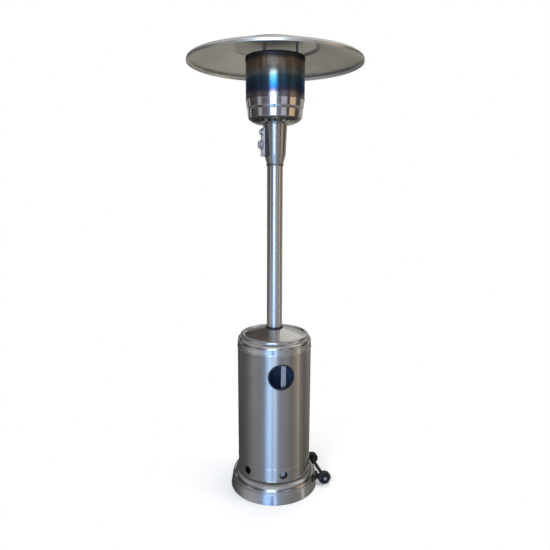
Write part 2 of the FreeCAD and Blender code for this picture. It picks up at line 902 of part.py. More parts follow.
def control_box():
    """The box on the front of the head, trimmed to the head's shell."""
    half = d.box_width / 2
    outer = block("box_outer", d.box_width, box_front, d.box_height, x=-half, y=-box_front, z=box_bottom)
    hollow = block("box_hollow", d.box_width - d.box_wall * 2, box_front, d.box_height - d.box_wall * 2,
                   x=-half + d.box_wall, y=-box_front + d.box_wall, z=box_bottom + d.box_wall)
    envelope = [(ZERO, head_bottom)] + [(point[0], point[1], *point[4:]) for point in head_path(d.seat_gap)]
    shell = revolved("head_envelope", envelope + [(ZERO, head_top)])
    holes = [front_bore("box_spindle_hole", d.spindle_hole_radius, knob_level),
             front_bore("box_igniter_hole", d.button_radius + d.bolt_gap, igniter_level)]
    holes += [front_bore(f"box_screw_hole_{index}", screw_hole, z, x)
              for index, (x, z) in enumerate(face_screw_places)]
    box = cut("box_walls", cut("box_open", outer, hollow), shell)
    piece("control_box", cut("control_box", box, group("box_holes", holes)))


def front_bore(name, radius, level, x=ZERO):
    """A cutter along Y through the front wall of the control box."""
    return cylinder(name, radius, d.box_stand + d.cut_overrun * 2, axis=ALONG_X, angle=SQUARE,
                    x=x, y=-box_front + d.box_stand + d.cut_overrun, z=level)


def face_plate():
    """The plate on the control box, with its screws."""
    half = d.box_width / 2 + d.face_border
    low = box_bottom - d.face_border
    high = box_bottom + d.box_height + d.face_border
    inset = d.face_corner
    corners = [
        (-half + inset, low),
        (half - inset, low, QUARTER_BULGE_SHARE),
        (half, low + inset),
        (half, high - inset, QUARTER_BULGE_SHARE),
        (half - inset, high),
        (-half + inset, high, QUARTER_BULGE_SHARE),
        (-half, high - inset),
        (-half, low + inset, QUARTER_BULGE_SHARE),
    ]
    body = padded("face_plate", "XZ_Plane", corners, d.face_thickness)
    drill(body, "face_spindle_hole", "XZ_Plane", [(ZERO, knob_level)], d.spindle_hole_radius)
    drill(body, "face_igniter_hole", "XZ_Plane", [(ZERO, igniter_level)], d.button_radius + d.bolt_gap)
    drill(body, "face_screw_holes", "XZ_Plane", face_screw_places, screw_hole)
    piece("face_plate", place(body, y=-box_front - d.face_thickness / 2))
    screws = [
        pan_screw(f"face_screw_{index}", d.screw_length, x=x, y=-face_front, z=z, axis=ALONG_X, angle=SQUARE)
        for index, (x, z) in enumerate(face_screw_places)
    ]
    piece("face_screws", group("face_screws", screws))


def knob():
    """The control knob, the spindle that it turns and the washer that the spindle pushes."""
    bore = d.spindle_radius + d.running_gap
    grip_top = d.knob_depth - d.knob_round
    corners = [
        (bore, ZERO),
        (d.knob_radius, ZERO),
        (d.knob_radius, d.knob_skirt_height),
        (d.knob_grip_radius, d.knob_skirt_height),
        (d.knob_grip_radius, grip_top, QUARTER_BULGE_SHARE),
        (d.knob_grip_radius - d.knob_round, d.knob_depth),
        (ZERO, d.knob_depth),
        (ZERO, d.knob_bore_depth),
        (bore, d.knob_bore_depth),
    ]
    body = revolved("knob_core", corners)
    pointer = block("knob_pointer", d.pointer_width, d.knob_radius, d.pointer_height,
                    x=-d.pointer_width / 2, z=d.knob_skirt_height - d.pointer_height / 2)
    trimmed = cut("knob_pointer_end", pointer, tube("knob_pointer_trim", d.knob_radius * 2, d.knob_radius,
                                                    d.knob_depth))
    outer = cut("knob_pointer_outer", trimmed, cylinder("knob_pointer_inner", bore, d.knob_depth))
    whole = fuse("control_knob", [body, outer])
    piece("control_knob", place(whole, y=-face_front - d.knob_gap, z=knob_level, axis=ALONG_X, angle=SQUARE))

    rear = bracket_back + d.spindle_entry
    washer_rear = bracket_back - d.bracket_thickness - d.push_room
    collar_rear = rear - washer_rear + d.washer_thickness
    collar_front = collar_rear + d.spindle_collar_thickness
    length = rear + face_front + d.knob_gap + d.knob_bore_depth - d.seat_gap
    corners = [
        (ZERO, ZERO),
        (d.spindle_radius, ZERO),
        (d.spindle_radius, collar_rear),
        (d.spindle_collar_radius, collar_rear),
        (d.spindle_collar_radius, collar_front),
        (d.spindle_radius, collar_front),
        (d.spindle_radius, length),
        (ZERO, length),
    ]
    body = revolved("valve_spindle", corners)
    piece("valve_spindle", place(body, y=rear, z=knob_level, axis=ALONG_X, angle=SQUARE))
    washer = tube("spindle_washer", d.washer_radius, bore, d.washer_thickness, y=washer_rear, z=knob_level,
                  axis=ALONG_X, angle=SQUARE)
    piece("spindle_washer", washer)


def igniter():
    """The piezo igniter: body behind the box's wall, bezel in front and the button through both."""
    bore = d.button_radius + d.running_gap
    bezel_top = d.bezel_height - d.bezel_round
    corners = [
        (bore, ZERO),
        (d.bezel_radius, ZERO),
        (d.bezel_radius, bezel_top, QUARTER_BULGE_SHARE),
        (d.bezel_radius - d.bezel_round, d.bezel_height),
        (bore, d.bezel_height),
    ]
    body = revolved("igniter_bezel", corners)
    piece("igniter_bezel", place(body, y=-face_front, z=igniter_level, axis=ALONG_X, angle=SQUARE))
    length = d.button_stand + d.face_thickness + d.box_wall + d.button_inside
    corners = [
        (ZERO, ZERO),
        (d.button_radius, ZERO),
        (d.button_radius, length - d.button_round, QUARTER_BULGE_SHARE),
        (d.button_radius - d.button_round, length),
        (ZERO, length),
    ]
    body = revolved("igniter_button", corners)
    rear = -box_front + d.box_wall + d.button_inside
    piece("igniter_button", place(body, y=rear, z=igniter_level, axis=ALONG_X, angle=SQUARE))
    outer = d.button_radius + d.igniter_wall
    corners = [
        (ZERO, ZERO),
        (outer, ZERO),
        (outer, d.igniter_depth),
        (bore, d.igniter_depth),
        (bore, d.igniter_end_wall),
        (ZERO, d.igniter_end_wall),
    ]
    body = revolved("igniter_body", corners)
    piece("igniter_body", place(body, y=igniter_rear, z=igniter_level, axis=ALONG_X, angle=SQUARE))


def valve():
    """The gas valve on its bracket, with inlet union, injector and tilt switch."""
    front = -box_front + d.box_wall
    thick = d.bracket_thickness
    half = d.bracket_half_height
    flange_top = knob_level + half + d.bracket_flange
    flange_low = knob_level - half - d.bracket_flange
    corners = [
        (front, flange_top),
        (front, knob_level + half - thick),
        (bracket_back - thick, knob_level + half - thick),
        (bracket_back - thick, knob_level - half + thick),
        (front, knob_level - half + thick),
        (front, flange_low),
        (front + thick, flange_low),
        (front + thick, knob_level - half),
        (bracket_back, knob_level - half),
        (bracket_back, knob_level + half),
        (front + thick, knob_level + half),
        (front + thick, flange_top),
    ]
    body = padded("valve_bracket", "YZ_Plane", corners, d.bracket_width)
    drill(body, "bracket_hole", "XZ_Plane", [(ZERO, knob_level)], d.spindle_radius + d.bolt_gap)
    piece("valve_bracket", body)

    low = knob_level - d.valve_height / 2
    solid = block("valve_block", d.valve_width, d.valve_depth, d.valve_height,
                  x=-d.valve_width / 2, y=bracket_back, z=low)
    bore = cylinder("valve_bore", d.spindle_radius + d.running_gap, d.valve_bore_depth + d.cut_overrun,
                    axis=ALONG_X, angle=SQUARE, y=bracket_back + d.valve_bore_depth, z=knob_level)
    piece("gas_valve", cut("gas_valve", solid, bore))

    nut = hexagon("union_hex", d.union_hex_radius, d.union_hex_height, z=-d.union_hex_height)
    pipe = cylinder("union_pipe", d.union_radius, d.union_length, z=-d.union_hex_height - d.union_length)
    hole = cylinder("union_hole", d.union_bore_radius, d.union_length + d.cut_overrun,
                    z=-d.union_hex_height - d.union_length - d.cut_overrun)
    union = cut("inlet_union", fuse("union_solid", [nut, pipe]), hole)
    piece("inlet_union", place(union, y=bracket_back + d.valve_depth / 2, z=low))

    foot = hexagon("injector_hex", d.injector_hex_radius, d.injector_hex_height)
    nozzle = cylinder("injector_nozzle", d.injector_radius, d.injector_length, z=d.injector_hex_height)
    piece("gas_injector", place(fuse("gas_injector", [foot, nozzle]), z=valve_top))

    valve_middle = bracket_back + d.valve_depth / 2
    switch = block("tilt_switch", d.switch_width, d.switch_depth, d.switch_height,
                   x=-d.valve_width / 2 - d.switch_width, y=valve_middle - d.switch_depth / 2,
                   z=knob_level - d.switch_height / 2)
    piece("tilt_switch", switch)


# Burner

def burner_bowl():
    """The mirror-bright bowl: slotted cone, lower band, ledge and upper band."""
    foot_level = head_top + d.bowl_cone_rise
    ledge_level = head_top + d.bowl_ledge_rise
    rim_level = head_top + d.bowl_rim_rise
    path = [
        (head_radius - d.head_flange_width, head_top, 0, 1),
        (head_radius, head_top, -0.2, 1),
        (bowl_foot_radius, foot_level, -0.6, 0.8, QUARTER_BULGE_SHARE / 2),
        (bowl_foot_radius + d.bowl_edge_round, foot_level + d.bowl_edge_round, -1, 0.3, BOWL_BULGE_SHARE),
        (bowl_lower_radius, ledge_level, -1, 1),
        (bowl_upper_radius, ledge_level, -1, 1),
        (d.bowl_rim_radius, rim_level, -1, 1),
        (d.bowl_rim_radius + d.bowl_flange_width, rim_level, 0, 1),
    ]
    body = revolved("burner_bowl", wall_corners(path, d.bowl_wall))
    drill(body, "bowl_screw_holes", "XY_Plane", bowl_screw_places, screw_hole)
    half = d.slot_width / 2
    far = bowl_foot_radius - d.slot_margin
    near = far - d.slot_length
    slot = outline(body, "bowl_slot_outline", "XY_Plane", [
        (near, -half), (far, -half), (far, half), (near, half)])
    repeat(body, cut_through(body, "bowl_slot", slot), SLOT_COUNT)
    piece("burner_bowl", body)
    screws = [
        pan_screw(f"bowl_screw_{index}", d.screw_length, x=x, y=y, z=head_top + d.bowl_wall)
        for index, (x, y) in enumerate(bowl_screw_places)
    ]
    piece("bowl_screws", group("bowl_screws", screws))


def burner():
    """The pan on the bowl's ledge, the burner head on it and the mixing tube that feeds it."""
    pan_radius = bowl_upper_radius - d.bowl_wall - d.seat_gap
    bore = d.tube_radius + d.seat_gap
    body = revolved("burner_pan", [
        (bore, pan_bottom), (pan_radius, pan_bottom), (pan_radius, pan_top), (bore, pan_top)])
    drill(body, "pan_pilot_holes", "XY_Plane", pilot_places, d.pilot_tube_radius + d.bolt_gap)
    piece("burner_pan", body)

    burner_top = pan_top + d.burner_height
    edge = d.burner_radius - d.burner_round
    path = [
        (d.burner_radius, pan_top, -1, 0),
        (d.burner_radius, burner_top - d.burner_round, -1, 0, QUARTER_BULGE_SHARE),
        (edge, burner_top, 0, -1),
        (ZERO, burner_top, 0, -1),
    ]
    body = revolved("burner_head", wall_corners(path, d.burner_wall))
    ports = drill(body, "burner_ports", "YZ_Plane", [(ZERO, pan_top + d.port_height)], d.port_radius)
    repeat(body, ports, PORT_PAIRS)
    piece("burner_head", body)

    bottom = valve_top + d.injector_hex_height + d.injector_length - d.tube_overlap
    inner = d.tube_radius - d.tube_wall
    flange = d.tube_radius + d.tube_flange_width
    flange_top = pan_top + d.tube_wall
    corners = [
        (inner, bottom),
        (d.tube_radius, bottom),
        (d.tube_radius, pan_top),
        (flange, pan_top),
        (flange, flange_top),
        (d.tube_radius, flange_top),
        (d.tube_radius, flange_top + d.tube_top),
        (inner, flange_top + d.tube_top),
    ]
    piece("mixing_tube", revolved("mixing_tube", corners))


def bent_rod(label, radius, points, axis, angle):
    """A round rod along straight runs, starting across the first run."""
    route = doc.addObject("Part::Polygon", f"{label}_route")
    route.Nodes = [FreeCAD.Vector(*(size.number for size in point)) for point in points]
    section = doc.addObject("Part::Circle", f"{label}_section")
    bind(section, Radius=radius)
    place(section, *points[0], axis=axis, angle=angle)
    sweep = doc.addObject("Part::Sweep", label)
    sweep.Sections = [section]
    sweep.Spine = (route, [f"Edge{index + 1}" for index in range(len(points) - 1)])
    sweep.Solid = True
    sweep.Transition = "Right corner"
    return piece(label, sweep)


def pilot():
    """The pilot tube and burner, thermocouple and spark electrode on their bracket behind the burner."""
    low = head_top + d.pilot_climb
    high = low + d.pilot_slant
    rod_top = pan_top + d.pilot_bracket_rise + d.pilot_height
    valve_rear = bracket_back + d.valve_depth
    back = valve_rear + d.pilot_run
    climb = [(back, low), (pilot_reach, high), (pilot_reach, rod_top)]
    for label, x in (("thermocouple", -d.pilot_pitch), ("pilot_tube", ZERO)):
        start = [(x, valve_rear, knob_level), (x, back, knob_level)]
        bent_rod(label, d.pilot_tube_radius, start + [(x, y, z) for y, z in climb], ALONG_X, SQUARE)
    x = d.pilot_pitch
    lead = [(ZERO, igniter_rear, igniter_level)]
    for side, depth, rise in LEAD_ROUTE_SHARES:
        lead.append((head_radius * side, head_radius * depth, igniter_level + head_radius * rise))
    bent_rod("spark_electrode", d.pilot_tube_radius, lead + [(x, y, z) for y, z in climb], ALONG_X, SQUARE)

    shelf = pan_top + d.pilot_bracket_rise
    thick = d.pilot_bracket_thickness
    near = pilot_reach - d.pilot_bracket_depth / 2
    far = pilot_reach + d.pilot_bracket_depth / 2
    corners = [
        (near, shelf - thick),
        (far - thick, shelf - thick),
        (far - thick, pan_top),
        (far, pan_top),
        (far, shelf),
        (near, shelf),
    ]
    body = padded("pilot_bracket", "YZ_Plane", corners, d.pilot_bracket_width)
    drill(body, "pilot_bracket_holes", "XY_Plane", pilot_places, d.pilot_tube_radius + d.bolt_gap)
    piece("pilot_bracket", body)
    hood = tube("pilot_burner", d.pilot_hood_radius, d.pilot_tube_radius + d.running_gap, d.pilot_hood_height,
                y=pilot_reach, z=shelf)
    piece("pilot_burner", hood)


# Emitter and reflector

def emitter():
    """The emitter screen on the bowl's rim and the cap on the screen."""
    inner = screen_radius - d.screen_wall
    piece("emitter_screen", revolved("emitter_screen", [
        (inner, screen_bottom), (screen_radius, screen_bottom),
        (screen_radius, screen_top), (inner, screen_top)]))
    skirt = screen_radius + d.cap_gap + d.cap_wall
    round_bottom = cap_top - d.cap_round
    path = [
        (skirt, round_bottom - d.cap_skirt, -1, 0),
        (skirt, round_bottom, -1, 0, QUARTER_BULGE_SHARE),
        (skirt - d.cap_round, cap_top, 0, -1),
        (ZERO, cap_top, 0, -1),
    ]
    body = revolved("emitter_cap", wall_corners(path, d.cap_wall))
    drill(body, "cap_post_holes", "XY_Plane", post_places, d.stud_radius + d.bolt_gap)
    piece("emitter_cap", body)


def reflector():
    """The wide spun reflector, its three posts, nuts, washers and wing nuts."""
    top = reflector_seat + d.reflector_wall
    ring = top - d.reflector_ring_drop
    rim = ring - d.reflector_fall
    edge = d.reflector_edge_round
    path = [
        (ZERO, top, 0, -1),
        (d.reflector_ring_radius - d.reflector_ring_width, top, -0.4, -1),
        (d.reflector_ring_radius, ring, -0.4, -1, -DOME_BULGE_SHARE),
        (d.reflector_radius - edge, rim, -0.3, -1, -QUARTER_BULGE_SHARE / 2),
        (d.reflector_radius, rim - edge, -1, -0.3),
        (d.reflector_radius, rim - edge - d.reflector_lip, -1, 0),
    ]
    body = revolved("reflector", wall_corners(path, d.reflector_wall))
    drill(body, "reflector_post_holes", "XY_Plane", post_places, d.stud_radius + d.bolt_gap)
    piece("reflector", body)

    stud_low = -d.cap_wall - d.large_nut_height - d.bolt_end
    stud_high = d.post_height + d.stud_end
    corners = [
        (ZERO, stud_low),
        (d.stud_radius, stud_low),
        (d.stud_radius, ZERO),
        (d.post_radius, ZERO),
        (d.post_radius, d.post_height),
        (d.stud_radius, d.post_height),
        (d.stud_radius, stud_high),
        (ZERO, stud_high),
    ]
    nuts = []
    washers = []
    wings = []
    for index, (x, y) in enumerate(post_places, start=1):
        body = revolved(f"reflector_post_{index}", corners)
        piece(f"reflector_post_{index}", place(body, x=x, y=y, z=cap_top))
        nuts.append(hex_nut(f"post_nut_{index}", d.stud_radius, d.large_hex_radius, d.large_nut_height,
                            x=x, y=y, z=cap_top - d.cap_wall - d.large_nut_height))
        washers.append(tube(f"wing_washer_{index}", d.wing_washer_radius, d.stud_radius + d.running_gap,
                            d.wing_washer_thickness, x=x, y=y, z=top))
        wings.append(wing_nut(f"wing_nut_{index}", x=x, y=y, z=top + d.wing_washer_thickness))
    piece("post_nuts", group("post_nuts", nuts))
    piece("reflector_washers", group("reflector_washers", washers))
    piece("wing_nuts", group("wing_nuts", wings))


def wing_nut(name, **where):
    """A hub with two flat wings."""
    hub = cylinder(f"{name}_hub", d.wing_hub_radius, d.wing_hub_height)
    span = block(f"{name}_span", d.wing_span * 2, d.wing_thickness, d.wing_hub_height,
                 x=-d.wing_span, y=-d.wing_thickness / 2, z=d.wing_rise)
    bore = cylinder(f"{name}_bore", d.stud_radius + d.running_gap, d.wing_hub_height * 2 + d.cut_overrun * 2,
                    z=-d.cut_overrun)
    return place(cut(name, fuse(f"{name}_solid", [hub, span]), bore), **where)


# Wheels

def band_ring(name, gap, low, high):
    """A solid of revolution that follows the base's flared band at a gap."""
    def edge(level):
        fall = d.base_flare / d.base_band_height
        return d.base_radius - fall * level + gap
    return revolved(name, [(ZERO, low), (edge(low), low), (edge(high), high), (ZERO, high)])


def wheel_bracket():
    """The curved strap on the base with two arms for the axle and two bolt bosses."""
    half = arm_outer
    reach = d.base_radius + d.cut_overrun * 2
    strap_ring = band_ring("strap_ring", d.seat_gap + d.strap_thickness, d.strap_low, d.strap_high)
    strap_box = block("strap_box", half * 2, reach, d.strap_high, x=-half, y=d.base_radius / 2)
    solids = [common("strap", strap_ring, strap_box)]
    for index, x in enumerate((-half, half - d.arm_thickness)):
        arm = block(f"arm_{index}", d.arm_thickness, axle_reach - d.base_radius / 2, d.arm_half_height * 2,
                    x=x, y=d.base_radius / 2, z=axle_height - d.arm_half_height - d.arm_drop)
        eye = cylinder(f"arm_eye_{index}", d.arm_end_radius, d.arm_thickness, x=x, y=axle_reach,
                       z=axle_height, axis=ALONG_Y, angle=SQUARE)
        solids += [arm, eye]
    for index, x in enumerate((-d.boss_offset, d.boss_offset)):
        solids.append(cylinder(f"boss_{index}", d.boss_radius, boss_face - d.base_radius / 2, x=x,
                               y=d.base_radius / 2, z=bracket_bolt_height, axis=ALONG_X, angle=-SQUARE))
    cutters = [band_ring("strap_seat", d.seat_gap, -d.cut_overrun, d.base_band_height + d.base_height)]
    cutters.append(cylinder("arm_bore", d.axle_radius + d.running_gap, half * 2 + d.cut_overrun * 2,
                            x=-half - d.cut_overrun, y=axle_reach, z=axle_height, axis=ALONG_Y,
                            angle=SQUARE))
    for index, x in enumerate((-d.boss_offset, d.boss_offset)):
        cutters.append(cylinder(f"boss_hole_{index}", small_hole, boss_face, x=x, y=d.cut_overrun,
                                z=bracket_bolt_height, axis=ALONG_X, angle=-SQUARE))
    bracket = cut("wheel_bracket", fuse("bracket_solid", solids), fuse("bracket_cutters", cutters))
    piece("wheel_bracket", bracket)
    bolts = [
        hex_bolt(f"bracket_bolt_{index}", d.small_bolt_radius, d.small_hex_radius, d.small_head_height,
                 d.wheel_bolt_length, x=x, y=boss_face, z=bracket_bolt_height, axis=ALONG_X, angle=-SQUARE)
        for index, x in enumerate((-d.boss_offset, d.boss_offset))
    ]
    piece("bracket_bolts", group("bracket_bolts", bolts))


def wheels():
    """The axle, the two wheels that turn on it and the caps on its ends."""
    half_width = d.wheel_width / 2
    wheel_outer = d.wheel_offset + half_width
    cap_start = wheel_outer + d.seat_gap
    axle_end = cap_start + d.axle_cap_length - d.axle_cap_wall
    axle = cylinder("wheel_axle", d.axle_radius, axle_end * 2, x=-axle_end, y=axle_reach, z=axle_height,
                    axis=ALONG_Y, angle=SQUARE)
    piece("wheel_axle", axle)
    rim = d.wheel_radius - d.wheel_rim_depth
    web = d.wheel_web / 2
    bore = d.axle_radius + d.running_gap
    tread = d.wheel_radius - d.wheel_round
    corners = [
        (bore, -half_width - d.hub_boss),
        (d.hub_radius, -half_width - d.hub_boss),
        (d.hub_radius, -web),
        (rim, -web),
        (rim, -half_width),
        (tread, -half_width, QUARTER_BULGE_SHARE),
        (d.wheel_radius, -half_width + d.wheel_round),
        (d.wheel_radius, half_width - d.wheel_round, QUARTER_BULGE_SHARE),
        (tread, half_width),
        (rim, half_width),
        (rim, web),
        (d.hub_radius, web),
        (d.hub_radius, half_width),
        (bore, half_width),
    ]
    for label, side in (("left_wheel", -1), ("right_wheel", 1)):
        body = revolved(label, corners)
        piece(label, place(body, x=d.wheel_offset * side, y=axle_reach, z=axle_height, axis=ALONG_Y,
                           angle=SQUARE * side))
    cap = [
        (bore, ZERO),
        (d.axle_cap_radius, ZERO),
        (d.axle_cap_radius, d.axle_cap_length - d.axle_cap_wall, QUARTER_BULGE_SHARE),
        (d.axle_cap_radius - d.axle_cap_wall, d.axle_cap_length),
        (ZERO, d.axle_cap_length),
        (ZERO, d.axle_cap_length - d.axle_cap_wall),
        (bore, d.axle_cap_length - d.axle_cap_wall),
    ]
    caps = []
    for name, side in (("left_axle_cap", -1), ("right_axle_cap", 1)):
        caps.append(place(revolved(name, cap), x=cap_start * side, y=axle_reach, z=axle_height,
                          axis=ALONG_Y, angle=SQUARE * side))
    piece("axle_caps", group("axle_caps", caps))


# Places that several pieces share
hand_hole_level = cover_top_edge - d.hand_hole_drop
head_screw_height = head_bottom + d.head_collar_height / 2
box_front = head_radius + d.box_stand
face_front = box_front + d.face_thickness
box_bottom = head_top - d.box_drop - d.box_height
knob_level = head_top - d.knob_drop
igniter_level = head_top - d.igniter_drop
igniter_rear = -box_front + d.box_wall + d.igniter_depth
bracket_back = -box_front + d.box_wall + d.bracket_depth
valve_top = knob_level + d.valve_height / 2
bowl_screw_places = [around(head_radius - d.bowl_screw_inset, angle) for angle in strut_angles]
pilot_places = [(x, pilot_reach) for x in (-d.pilot_pitch, ZERO, d.pilot_pitch)]
post_places = [around(post_circle, POST_ANGLE + FULL_TURN / POST_COUNT * index)
               for index in range(POST_COUNT)]
face_screw_x = d.box_width / 2 - d.face_screw_inset
face_screw_low = box_bottom + d.face_screw_inset
face_screw_high = box_bottom + d.box_height - d.face_screw_inset
face_screw_places = [(x, z) for x in (-face_screw_x, face_screw_x) for z in (face_screw_low, face_screw_high)]
arm_outer = d.wheel_offset - d.wheel_width / 2 - d.hub_boss - d.seat_gap
bracket_bolt_height = (d.strap_low + d.strap_high) / 2
boss_face = d.base_radius + d.strap_thickness + d.boss_rise

base_shell()
vent_ring()
struts()
pole_plate()
pole()
cover_shell()
hand_hole_trim("right_hand_hole_trim", 0)
hand_hole_trim("left_hand_hole_trim", HALF_TURN)
cover_top()
head_housing()
control_box()
face_plate()
knob()
igniter()
valve()
burner_bowl()
burner()
pilot()
emitter()
reflector()
wheel_bracket()
wheels()
doc.recompute()

faults = [item.Name for item in doc.Objects if "Invalid" in item.State or "Error" in item.State]
faults += [label for label, item in pieces.items() if item.Shape.isNull() or not item.Shape.isValid()]
if faults:
    raise RuntimeError(f"not built: {', '.join(faults)}")
os.makedirs("parts", exist_ok=True)
for label, item in pieces.items():
    item.Shape.exportStep(f"parts/{label}.step")
    print(label, len(item.Shape.Solids), round(item.Shape.Volume))
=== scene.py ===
"""A free-standing gas radiant heater: its finishes and fine shapes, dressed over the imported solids."""

import json
import logging
import math
from collections.abc import Callable, Iterable, Sequence
from dataclasses import dataclass
from enum import Enum

import bmesh
import bpy
from mathutils import Matrix, Vector


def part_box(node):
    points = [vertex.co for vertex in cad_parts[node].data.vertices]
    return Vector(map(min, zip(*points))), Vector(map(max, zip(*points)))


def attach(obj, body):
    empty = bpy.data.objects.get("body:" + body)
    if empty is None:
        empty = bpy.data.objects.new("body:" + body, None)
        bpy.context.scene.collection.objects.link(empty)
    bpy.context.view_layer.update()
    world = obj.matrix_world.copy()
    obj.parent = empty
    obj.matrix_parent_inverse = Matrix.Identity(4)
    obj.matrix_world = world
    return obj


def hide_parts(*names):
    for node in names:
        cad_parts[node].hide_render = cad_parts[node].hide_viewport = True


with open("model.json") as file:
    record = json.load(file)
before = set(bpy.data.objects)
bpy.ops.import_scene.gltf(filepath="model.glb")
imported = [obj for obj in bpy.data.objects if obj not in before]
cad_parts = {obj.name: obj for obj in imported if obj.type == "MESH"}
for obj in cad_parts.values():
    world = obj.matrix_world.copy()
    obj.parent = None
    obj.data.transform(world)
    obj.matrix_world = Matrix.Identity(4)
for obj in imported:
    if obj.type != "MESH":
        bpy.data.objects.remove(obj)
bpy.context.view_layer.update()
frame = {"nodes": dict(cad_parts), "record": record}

LOG = logging.getLogger("radiant_heater")

Colour = tuple[float, float, float]
Corner = tuple[float, float, float]
Span = tuple[float, float]
Section = Sequence[Corner]
Stops = Sequence[tuple[float, Colour]]
Material = bpy.types.Material
Mesh = bmesh.types.BMesh
Piece = bpy.types.Object
Socket = bpy.types.NodeSocket

WHITE = (1.0, 1.0, 1.0)
MIX_SHARE, MIX_FIRST, MIX_SECOND, MIX_RESULT = 0, 6, 7, 2
NOISE_ROUGHNESS = 0.62
FINE_DETAIL = 5.0
SMUDGE_DETAIL = 4.0
COARSE_DETAIL = 3.0
WAVE_DETAIL = 1.0
SHELL_STEPS = 192
HOLE_STEPS = 96
ROD_STEPS = 64
SMALL_STEPS = 40
MERGE_GAP = 1e-6
SHARP_ANGLE = math.radians(34)
QUARTER = math.radians(90)
SIDEWAYS = Matrix.Rotation(QUARTER, 4, "Y")
CORNER_PITCH = 0.0012
FEWEST_CORNER_STEPS = 2
MOST_CORNER_STEPS = 12
PLATE_CORNER_STEPS = 8
SQUARE_ON = 0.9
SUPPORT_GAP = 0.0008
BIT_LENGTH_IN_RADII = 3


class Body(Enum):
    """The bodies that pieces move with."""

    BASE = "base"
    COVER = "tank_cover"
    KNOB = "control_knob"
    BUTTON = "igniter_button"
    LEFT_WHEEL = "left_wheel"
    RIGHT_WHEEL = "right_wheel"


class Slot(Enum):
    """The record's material slots."""

    BRUSHED = "brushed_steel"
    POLISHED = "polished_steel"
    ZINC = "zinc"
    HEATED = "heat_steel"
    REFLECTOR = "reflector_aluminium"
    PLASTIC = "black_plastic"
    RUBBER = "black_rubber"
    SILVER = "silver_plastic"
    BRASS = "brass"
    CERAMIC = "ceramic"
    PAINT = "black_paint"


class Look(Enum):
    """Finishes that some pieces of a slot have instead of its usual one."""

    # Painted shade in the emitter screen's dimples, where open holes would show the dark inside.
    HOLE_SHADE = "soot"
    SATIN = "satin_stainless"
    POLE = "pole_stainless"
    WORN = "worn_stainless"
    # Dark steel: the real finish of the reflector posts, and painted shade on the bell's crown and the
    # head's collar.
    DULLED_AND_SHADE = "dulled_steel"
    # Painted reflection: the blue light seen inside the housing, coloured onto its inner wall.
    BLUE_REFLECTION_LINING = "housing_lining"
    PANEL = "pale_panel"
    # Painted shade: the black of the control box stands for the shadow gap between face plate and head.
    BOX = "dark_box"


class Grain(Enum):
    """How a metal's fine grain runs: the stretch of its noise along X, Y and Z."""

    AROUND = (7.0, 7.0, 900.0)
    UPRIGHT = (90.0, 90.0, 3.0)
    EVEN = (160.0, 160.0, 160.0)


# Finishes


class Nodes:
    """A node tree in the making."""

    def __init__(self, tree: bpy.types.NodeTree) -> None:
        """Starts from a tree, which is emptied."""
        self.tree = tree
        tree.nodes.clear()

    def feed(self, target: Socket, value: object) -> None:
        """Joins an output to an input, or sets the input to a plain value.

        Args:
            target: the input.
            value: the output or the plain value.
        """
        if isinstance(value, Socket):
            self.tree.links.new(value, target)
        else:
            target.default_value = value

    def add(self, kind: str, feeds: dict[str | int, object] | None = None, output: str | int = 0,
            **settings: object) -> Socket:
        """Adds a node.

        Args:
            kind: the node's type name after ShaderNode.
            feeds: outputs of other nodes or plain values for its inputs.
            output: name or number of the output that is wanted.
            settings: values for its own options.

        Returns:
            That output.
        """
        node = self.tree.nodes.new(f"ShaderNode{kind}")
        for name, value in settings.items():
            setattr(node, name, value)
        for name, value in (feeds or {}).items():
            self.feed(node.inputs[name], value)
        return node.outputs[output]

    def show(self, kind: str, surface: Socket) -> None:
        """Adds the tree's output and joins a surface to it."""
        self.feed(self.tree.nodes.new(f"ShaderNode{kind}").inputs["Surface"], surface)

    def spread(self, source: Socket, low: float, high: float, start: float = 0.3,
               end: float = 0.7) -> Socket:
        """A value mapped from start and end to low and high."""
        return self.add("MapRange", {"Value": source, "From Min": start, "From Max": end,
                                               "To Min": low, "To Max": high})

    def ramp(self, source: Socket, stops: Stops) -> Socket:
        """A colour ramp over a value.

        Args:
            source: the value.
            stops: places and colours along the ramp.

        Returns:
            The ramp's colour.
        """
        colours = self.add("ValToRGB", {"Fac": source})
        elements = colours.node.color_ramp.elements
        while len(elements) < len(stops):
            elements.new(1.0)
        for element, (place, colour) in zip(elements, stops):
            element.position = place
            element.color = (*colour, 1.0)
        return colours

    def blend(self, first: Socket, second: object, share: object, mode: str = "MIX") -> Socket:
        """Blends the second colour over the first by a share; both can be plain values."""
        feeds = {MIX_SHARE: share, MIX_FIRST: first, MIX_SECOND: second}
        return self.add("Mix", feeds, MIX_RESULT, data_type="RGBA", blend_type=mode)


def shaded(colour: Colour, factor: float) -> Colour:
    """A colour made lighter or darker."""
    return tuple(min(1.0, part * factor) for part in colour)


